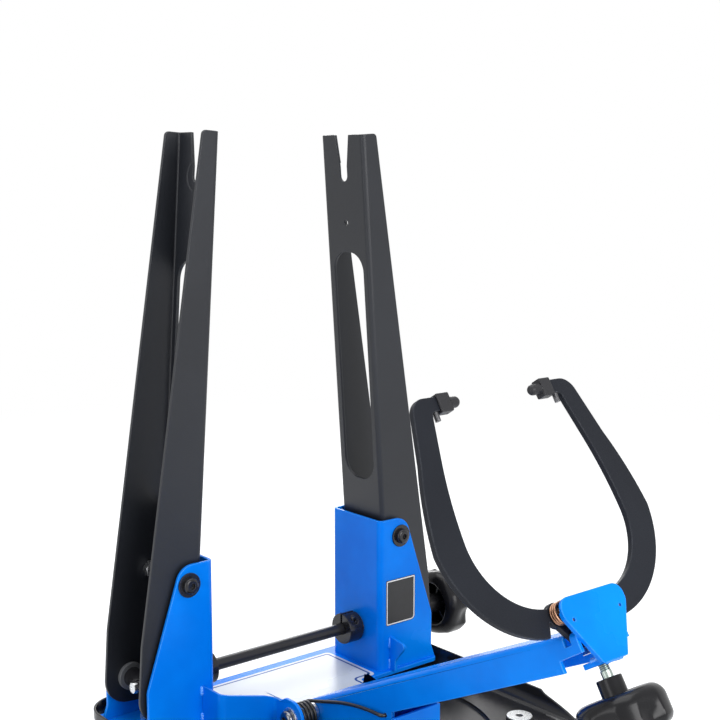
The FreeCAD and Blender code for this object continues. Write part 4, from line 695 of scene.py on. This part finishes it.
# softened nodes: finish, width of the rolled edge, and where they differ the angle and sharpness
skins = {
    "tray and feet": {
        "base_tray": ("trayCoat", 0.0005, 45.0),
        "rubber_feet": ("footRubber", 0.0006),
        "foot_sleeves": ("zincSteel", 0.0003),
    },
    "base": {
        "base_plate": ("blueCoat", 0.0006),
        "base_spacers": ("zincSteel", 0.0),
        "base_bolts": ("blackSteel", 0.0003),
        "floor_label": ("labelFilm", 0.0),
        "right_bracket": ("blueCoat", 0.0006),
        "left_bracket": ("blueCoat", 0.0006),
        "arm_pivot_wall": ("blueCoat", 0.0006),
        "right_arm_ear": ("blueCoat", 0.0006),
        "right_bracket_fin": ("blueCoat", 0.0006),
        "spec_plate": ("plateBlack", 0.0),
        "pivot_screws": ("blackSteel", 0.00025),
        "pivot_washers": ("blackSteel", 0.0003),
        "pivot_bushes": ("nylonBlack", 0.0),
        "web_bushes": ("bronzeBush", 0.0003),
        "arm_bolt": ("darkChrome", 0.0003),
        "arm_washers": ("zincSteel", 0.0002),
    },
    "spindle hardware": {
        "spindle_collars": ("blackSteel", 0.0006),
        "collar_screws": ("blackSteel", 0.0002),
        "left_cross_nut": ("blackSteel", 0.0003),
        "right_cross_nut": ("blackSteel", 0.0003),
        "left_nut_rings": ("ringGrey", 0.0004),
        "right_nut_rings": ("ringGrey", 0.0004),
    },
    "uprights": {
        "left_upright": ("blackCoat", 0.0006),
        "right_upright": ("blackCoat", 0.0006),
    },
    "arm and caliper head": {
        "support_arm": ("blueCoat", 0.0004, 70.0, 50.0),
        "arm_cross_plate": ("blueCoat", 0.0006),
        "arm_bush": ("zincSteel", 0.0002),
        "nut_plate": ("blueCoat", 0.0006),
        "caliper_bracket": ("blueCoat", 0.0005),
        "caliper_pins": ("zincSteel", 0.0004),
        "pin_clips": ("blackSteel", 0.0002),
        "spreader_wedge": ("zincSteel", 0.0005),
        "left_caliper_arm": ("armBlack", 0.0007),
        "right_caliper_arm": ("armBlack", 0.0007),
        "left_caliper_tip": ("tipPlastic", 0.0005),
        "right_caliper_tip": ("tipPlastic", 0.0005),
        "left_tip_screw": ("darkScrew", 0.0003),
        "right_tip_screw": ("darkScrew", 0.0003),
    },
}
for label, looks in skins.items():
    for node, look in looks.items():
        softened(node, *look)
    print(label, "dressed")


# springs and the long rest screw keep their own mesh
dressed("arm_spring", "springSteel")
dressed("left_caliper_spring", "copperWire")
dressed("right_caliper_spring", "copperWire")
dressed("rest_screw", "zincSteel")
print("springs dressed")


# threaded bars
threading = {"rowsPerTurn": 6, "flank": 1.5, "smooth": 60.0}


def threadedBar(bm, start, end, look, stations, steps):
    # stations are shares of the length: (from, to) that carry a thread
    length = (end - start).length
    rows = int(length / (look["pitch"] / threading["rowsPerTurn"]))

    def spotAt(row, turn):
        at = length * row / rows
        cut = any(low <= at / length <= high for low, high in stations)
        wave = (at / look["pitch"] - turn / (2 * math.pi)) % 1.0
        valley = 1.0 - abs(wave * 2.0 - 1.0)
        drop = look["depth"] * min(1.0, valley * threading["flank"]) if cut else 0.0
        return look["radius"] - drop, at

    rings = lathed(bm, start, end - start, steps, rows + 1, spotAt)
    outward = (end - start).normalized()
    chamferEnd(bm, rings[0], start, -outward, look["chamfer"])
    chamferEnd(bm, rings[-1], end, outward, look["chamfer"])


def chamferEnd(bm, ringVerts, middle, outward, chamfer):
    # closes a bar's end with a small cone and a flat
    inner = []
    for vert in ringVerts:
        toMiddle = middle - vert.co
        toMiddle -= outward * toMiddle.dot(outward)
        inner.append(bm.verts.new(vert.co + toMiddle.normalized() * chamfer + outward * chamfer))
    ringFaces(bm, ringVerts, inner)
    bm.faces.new(inner)


spindleLook = {
    "radius": 5.4 * mm, "pitch": 2.0 * mm, "depth": 0.5 * mm, "chamfer": 0.8 * mm, "steps": 28,
    "threadStarts": 100.0 * mm, "stubRadius": 5.0 * mm, "stub": 4.0 * mm, "stubSteps": 48,
    "centreRadius": 0.5 * mm, "centreDepth": 0.9 * mm, "centreMouth": 1.3 * mm,
}


def makeSpindle():
    look = spindleLook
    low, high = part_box("spindle")
    middle = (low + high) / 2
    start = Vector((low.x + look["stub"], middle.y, middle.z))
    end = Vector((high.x - look["chamfer"], middle.y, middle.z))
    length = (end - start).length
    leftThread = (0.0, (-look["threadStarts"] - start.x) / length)
    rightThread = ((look["threadStarts"] - start.x) / length, 1.0)
    bm = bmesh.new()
    threadedBar(bm, start, end, look, [leftThread, rightThread], look["steps"])
    mesh = meshFrom("spindleRod", bm, threading["smooth"])
    newPiece("spindleRod", mesh, "spindle_set", "blackRod", ["spindle"])
    # the bare turned end, with a centre drilled in its face
    radius = look["stubRadius"]
    out = start.x - low.x
    profile = [
        (look["centreRadius"], out - look["centreDepth"]), (look["centreMouth"], out),
        (radius - 1.3 * mm, out), (radius - 0.4 * mm, out - 0.35 * mm), (radius, out - 1.1 * mm),
        (radius, 0.0), (look["centreRadius"], 0.0),
    ]
    bm = bmesh.new()
    rings = lathed(bm, start, (-1, 0, 0), look["stubSteps"], len(profile),
                   lambda row, turn: profile[row])
    capped(bm, rings)
    newPiece("spindleStub", meshFrom("spindleStub", bm, 40.0), "spindle_set", "zincSteel")


headAxis = Vector(jointNamed("spreader_slide")["axis"]).normalized()
headCentre = Vector(jointNamed("caliper_knob_spin")["pos_m"])


def corners(node):
    return [vert.co for vert in frame["nodes"][node].data.vertices]


studLook = {
    "radius": 4.0 * mm, "pitch": 1.25 * mm, "depth": 0.6 * mm, "chamfer": 0.6 * mm, "bare": 4.5 * mm,
    "steps": 24,
}


def makeStud():
    look = studLook
    heights = []
    for spot in corners("caliper_stud"):
        height = (spot - headCentre).dot(headAxis)
        if (spot - headCentre - headAxis * height).length > look["radius"] * 0.98:
            heights.append(height)
    start = headCentre + headAxis * (min(heights) + look["chamfer"])
    end = headCentre + headAxis * (max(heights) - look["chamfer"])
    underPlate = min((spot - start).dot(headAxis) for spot in corners("nut_plate")) - look["bare"]
    bm = bmesh.new()
    threadedBar(bm, start, end, look, [(underPlate / (end - start).length, 1.0)], look["steps"])
    mesh = meshFrom("caliperStud", bm, threading["smooth"])
    newPiece("caliperStud", mesh, "caliper_grip", "studSteel", ["caliper_stud"])


makeSpindle()
makeStud()
print("threads cut")


# moulded grips
gripLook = {
    "radius": 33.0 * mm, "lobes": 6, "scoopAt": 40.26 * mm, "scoop": 12.0 * mm, "blend": 5.0 * mm,
    "depth": 30.0 * mm, "edge": 7.0 * mm, "floor": 5.0 * mm, "crown": 1.6 * mm, "wall": 6.0 * mm,
    "rim": 10.0 * mm, "rimInside": 3.5 * mm, "rimShare": 0.08, "rimRows": 16, "caveRound": 3 * mm,
    "hubRadius": 9.3 * mm, "hubReach": 12.0 * mm, "ribWidth": 2.4 * mm, "ribDrop": 6.0 * mm,
    "ribTaper": 0.75, "steps": 144, "smooth": 42.0,
}


def lobeRadius(turn, radius, scoop):
    # distance from the axis to a scooped disc's side
    step = 2 * math.pi / gripLook["lobes"]
    off = (turn % step) - step / 2
    far = gripLook["scoopAt"]
    reach = radius
    if abs(far * math.sin(off)) < scoop:
        cut = far * math.cos(off) - math.sqrt(scoop ** 2 - (far * math.sin(off)) ** 2)
        blend = gripLook["blend"]
        share = max(blend - abs(reach - cut), 0.0) / blend
        reach = min(reach, cut) - share * share * blend * 0.25
    return reach


def gripProfile(bore):
    # rows of kind, value, height and share
    # "round" gives a radius, "lobed" an inset from the lobes with its share of the scoops
    look = gripLook
    rim = look["hubReach"]
    face = rim + look["depth"]
    cave = face - look["floor"]
    hub = look["hubRadius"]
    hubRows = [
        (bore, 1.5 * mm), (bore + 0.3 * mm, 0.3 * mm), (bore + 0.8 * mm, 0.0),
        (hub - 0.9 * mm, 0.0), (hub - 0.3 * mm, 0.25 * mm), (hub, 0.9 * mm),
        (hub + 0.4 * mm, cave - 2.0 * mm), (hub + 0.9 * mm, cave - 0.6 * mm), (hub + 2.0 * mm, cave),
    ]
    rows = [("round", radius, height, 0) for radius, height in hubRows]
    for i in range(5):
        turn = math.pi / 2 * i / 4
        inset = look["wall"] + look["caveRound"] * (1 - math.sin(turn))
        rows.append(("lobed", inset, cave - look["caveRound"] * (1 - math.cos(turn)), 0.9))
    # the rim by the hub is a fat round bead
    bead = look["rim"]
    halfWay = look["rimRows"] / 2
    for i in range(look["rimRows"] + 1):
        turn = math.pi * (1 - i / look["rimRows"])
        half = look["rimInside"] if i < halfWay else bead
        share = look["rimShare"] + 0.25 * max(0.0, i / halfWay - 1) ** 2
        rows.append(("lobed", bead - half * math.cos(turn), rim + bead * (1 - math.sin(turn)), share))
    side = face - look["crown"] - look["edge"]
    for i in range(1, 5):
        along = i / 4
        share = 0.33 + 0.67 * along * along * (3 - 2 * along)
        rows.append(("lobed", 0.0, rim + bead + (side - rim - bead) * along, share))
    for i in range(1, 8):
        turn = math.pi / 2 * i / 7
        inset = look["edge"] * (1 - math.cos(turn))
        rows.append(("lobed", inset, side + look["edge"] * math.sin(turn), 1.0))
    for share in (0.75, 0.5, 0.25, 0.06):
        radius = (look["radius"] - look["edge"]) * share * 0.72
        rows.append(("round", radius, face - look["crown"] * share * share, 0))
    return rows


def addRibs(bm, middle, direction):
    # thin walls from the hub to the rim, one to each lobe
    look = gripLook
    axis, side, other = axesAlong(direction)
    low = look["hubReach"] + look["ribDrop"]
    high = look["hubReach"] + look["depth"] - look["floor"] + 1.0 * mm
    near = look["hubRadius"] - 1.0 * mm
    far = look["radius"] - look["wall"] - 0.5 * mm
    sides = ((0, 1, 3, 2), (4, 6, 7, 5), (0, 4, 5, 1), (2, 3, 7, 6), (0, 2, 6, 4), (1, 5, 7, 3))
    for i in range(look["lobes"]):
        turn = 2 * math.pi * i / look["lobes"]
        outward = side * math.cos(turn) + other * math.sin(turn)
        across = axis.cross(outward)
        rib = []
        for reach in (near, far):
            for w in (-look["ribWidth"] / 2, look["ribWidth"] / 2):
                for h, narrow in ((low, look["ribTaper"]), (high, 1.0)):
                    spot = Vector(middle) + outward * reach + across * w * narrow + axis * h
                    rib.append(bm.verts.new(spot))
        for face in sides:
            bm.faces.new([rib[k] for k in face])


def makeGrip(name, node, body, middle, direction, bore):
    rows = gripProfile(bore)

    def spotAt(row, turn):
        kind, value, height, share = rows[row]
        if kind == "round":
            return value, height
        plain = gripLook["radius"] - value
        scooped = lobeRadius(turn, plain, gripLook["scoop"] + value)
        return plain - (plain - scooped) * share, height

    bm = bmesh.new()
    rings = lathed(bm, middle, direction, gripLook["steps"], len(rows), spotAt)
    bm.faces.new(rings[-1])
    bm.faces.new(rings[0])
    addRibs(bm, middle, direction)
    newPiece(name, meshFrom(name, bm, gripLook["smooth"]), body, "gripPlastic", [node])


knobLow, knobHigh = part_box("spindle_knob")
knobMiddle = (knobLow + knobHigh) / 2
makeGrip("spindleGrip", "spindle_knob", "spindle_set", (knobLow.x, knobMiddle.y, knobMiddle.z),
         (1, 0, 0), spindleLook["radius"])
hubEnd = max((spot - headCentre).dot(headAxis) for spot in corners("caliper_knob"))
makeGrip("caliperGrip", "caliper_knob", "caliper_grip", headCentre + headAxis * hubEnd,
         -headAxis, studLook["radius"])
print("grips moulded")


# hexagon nuts with turned corners
nutTurning = {"mouth": 0.4 * mm, "faceShare": 0.95, "coneDegrees": 30, "steps": 72, "smooth": 25.0}
nutLooks = {
    "base_nuts": {"axis": (0, 0, 1), "flat": 10.0 * mm, "bore": 3.0 * mm, "body": "stand"},
    "pivot_nuts": {"axis": (0, 1, 0), "flat": 13.0 * mm, "bore": 4.0 * mm, "body": "stand"},
    "arm_nut": {"axis": (1, 0, 0), "flat": 13.0 * mm, "bore": 5.0 * mm, "body": "stand"},
    "rest_nuts": {"axis": (0, 0, 1), "flat": 13.0 * mm, "bore": 4.0 * mm, "body": "arm"},
}


def hexNut(bm, middle, axis, flat, height, bore):
    edge = flat / 2
    face = edge * nutTurning["faceShare"]
    mouth = nutTurning["mouth"]
    slope = math.tan(math.radians(nutTurning["coneDegrees"]))
    rows = [
        (bore, height / 2 - mouth), (bore + mouth, height / 2), (face, height / 2), ("hex", 1),
        ("hex", -1), (face, -height / 2), (bore + mouth, -height / 2), (bore, -height / 2 + mouth),
    ]

    def spotAt(row, turn):
        radius, level = rows[row]
        if radius == "hex":
            radius = edge / math.cos((turn % (math.pi / 3)) - math.pi / 6)
            level = level * (height / 2 - (radius - face) * slope)
        return radius, level

    lathed(bm, middle, axis, nutTurning["steps"], len(rows), spotAt, closed=True)


def islands(node):
    # lowest and highest corner of each separate solid in a node
    bm = weldedMesh(node)
    bm.verts.ensure_lookup_table()
    seen = set()
    found = []
    for vert in bm.verts:
        if vert.index in seen:
            continue
        stack, group = [vert], []
        seen.add(vert.index)
        while stack:
            item = stack.pop()
            group.append(item.co.copy())
            for edge in item.link_edges:
                other = edge.other_vert(item)
                if other.index not in seen:
                    seen.add(other.index)
                    stack.append(other)
        low = Vector([min(p[k] for p in group) for k in range(3)])
        high = Vector([max(p[k] for p in group) for k in range(3)])
        found.append((low, high))
    bm.free()
    return found


for node, look in nutLooks.items():
    bm = bmesh.new()
    for low, high in islands(node):
        height = abs((high - low).dot(Vector(look["axis"])))
        hexNut(bm, (low + high) / 2, look["axis"], look["flat"], height, look["bore"])
    mesh = meshFrom(node + "_turned", bm, nutTurning["smooth"])
    newPiece(node + "_turned", mesh, look["body"], "zincSteel", [node])
print("nuts turned")


# weld beads: rippled ropes of metal in the corners between the sheets
beadLook = {
    "ripple": 1.5 * mm, "step": 0.3 * mm, "dent": 0.22, "sides": 14, "fewest": 8,
    "wander": 0.12, "wanderLength": 2.3 * mm, "smooth": 80.0,
}


def weldBead(bm, start, end, radius, phase):
    look = beadLook
    length = (end - start).length
    rows = max(look["fewest"], int(length / look["step"]))

    def spotAt(row, turn):
        at = length * (row + 1) / rows
        toEnd = min(at, length - at) / radius
        taper = math.sqrt(1.0 - (1.0 - min(toEnd, 1.0)) ** 2)
        wave = abs(math.sin(math.pi * at / look["ripple"] + phase))
        wander = look["wander"] * math.sin(at / look["wanderLength"] + phase * 3.0)
        return radius * taper * (1.0 - look["dent"] * (1.0 - wave) + wander), at

    capped(bm, lathed(bm, start, end - start, look["sides"], rows - 1, spotAt))


def makeBeads(name, body, runs, phaseStep):
    bm = bmesh.new()
    for k, (start, end, radius) in enumerate(runs):
        weldBead(bm, Vector(start), Vector(end), radius, k * phaseStep)
    newPiece(name, meshFrom(name, bm, beadLook["smooth"]), body, "weldBlue")


def standRuns():
    # from, to and radius, in the corners of the wall, the fin and the ear
    wallLow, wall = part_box("arm_pivot_wall")
    finLow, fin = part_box("right_bracket_fin")
    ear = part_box("right_arm_ear")[1]
    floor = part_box("base_plate")[1].z
    runs = []
    for x, y, low, high, radius in (
        (wallLow.x, wall.y, wall.z - 9.5 * mm, wall.z - 0.5 * mm, 2.0),
        (wallLow.x, wall.y, floor + 3 * mm, floor + 15 * mm, 2.1),
        (finLow.x, fin.y, floor + 0.5 * mm, floor + 11 * mm, 1.3),
        (finLow.x, fin.y, fin.z - 12 * mm, fin.z - 1 * mm, 1.3),
        (fin.x, fin.y, floor + 2 * mm, fin.z - 3 * mm, 1.2),
    ):
        runs.append(((x, y, low), (x, y, high), radius * mm))
    runs.append(((ear.x, ear.y - 7 * mm, floor), (ear.x, ear.y, floor), 1.1 * mm))
    return runs


headBeads = [
    # from, to (right, back and along the stud from the front plate's middle), radius
    ((-12.2, 4.0, 3.0), (-13.4, 4.0, 11.0), 1.7),
    ((-10.2, 4.4, 4.4), (-11.6, 13.5, 4.4), 1.7),
    ((-9.5, 2.6, 0.4), (9.5, 2.6, 0.4), 1.5),
    ((12.2, 4.0, 3.0), (13.4, 4.0, 11.0), 1.5),
    ((10.2, 4.4, 4.4), (11.6, 13.5, 4.4), 1.5),
]


def headRuns():
    # measured from where the stud passes under the nut plate, at the front plate's face
    away = headAxis.cross(Vector((1, 0, 0)))
    under = min((spot - headCentre).dot(headAxis) for spot in corners("nut_plate"))
    face = min((spot - headCentre).dot(away) for spot in corners("caliper_bracket"))
    origin = headCentre + headAxis * under + away * face
    runs = []
    for start, end, radius in headBeads:
        ends = [origin + Vector((x * mm, 0, 0)) + away * (back * mm) + headAxis * (rise * mm)
                for x, back, rise in (start, end)]
        runs.append((*ends, radius * mm))
    return runs


makeBeads("standBeads", "stand", standRuns(), 0.7)
makeBeads("headBeads", "arm", headRuns(), 1.3)
print("weld beads laid")


# printed line on the floor label, pale edge on the small plate
def roundedRing(points, radii, steps=6):
    count = len(points)
    outline = []
    for i, (point, radius) in enumerate(zip(points, radii)):
        here = Vector(point)
        back = (Vector(points[i - 1]) - here).normalized()
        ahead = (Vector(points[(i + 1) % count]) - here).normalized()
        half = back.angle(ahead) / 2
        cut = radius / math.tan(half)
        centre = here + (back + ahead).normalized() * radius / math.sin(half)
        first = here + back * cut - centre
        last = here + ahead * cut - centre
        for k in range(steps + 1):
            outline.append(centre + first.lerp(last, k / steps).normalized() * radius)
    return outline


def inkRibbon(name, outline, normal, finish, look):
    # a thin closed ribbon that follows an outline, its width inward from it
    bm = bmesh.new()
    normal = Vector(normal).normalized()
    count = len(outline)
    outer, inner = [], []
    for i in range(count):
        tangent = (outline[(i + 1) % count] - outline[i - 1]).normalized()
        inward = normal.cross(tangent)
        outer.append(bm.verts.new(outline[i] + normal * look["lift"]))
        inner.append(bm.verts.new(outline[i] + inward * look["line"] + normal * look["lift"]))
    ringFaces(bm, outer, inner)
    newPiece(name, meshFrom(name, bm), "stand", finish)


labelLook = {
    "inset": 3.0 * mm, "line": 2.0 * mm, "corner": 4.0 * mm, "lift": 0.08 * mm,
    "notch": 20.5 * mm, "notchDeep": 21.0 * mm,
}


def makeLabelLine():
    low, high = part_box("floor_label")
    gap = labelLook["inset"]
    x, y0, y1 = high.x - gap, low.y + gap, high.y - gap
    step = x - labelLook["notch"]
    notchY = low.y + labelLook["notchDeep"] + gap
    points = [
        (-step, y0), (step, y0), (step, notchY), (x, notchY),
        (x, y1), (-x, y1), (-x, notchY), (-step, notchY),
    ]
    flat = roundedRing(points, [labelLook["corner"]] * len(points))
    outline = [p.to_3d() + Vector((0, 0, high.z)) for p in flat]
    inkRibbon("labelLine", outline, (0, 0, 1), "labelInk", labelLook)


plateLook = {
    "inset": 0.5 * mm, "line": 1.1 * mm, "lift": 0.03 * mm,
    "corners": (1.2 * mm, 4.0 * mm, 1.2 * mm, 1.2 * mm),
}


def makePlateBorder():
    low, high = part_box("spec_plate")
    gap = plateLook["inset"]
    x0, x1, z0, z1 = low.x + gap, high.x - gap, low.z + gap, high.z - gap
    flat = roundedRing(((x0, z0), (x1, z0), (x1, z1), (x0, z1)), plateLook["corners"])
    outline = [Vector((p.x, low.y, p.y)) for p in flat]
    inkRibbon("plateBorder", outline, (0, -1, 0), "plateEdge", plateLook)


makeLabelLine()
makePlateBorder()
print("label printed")
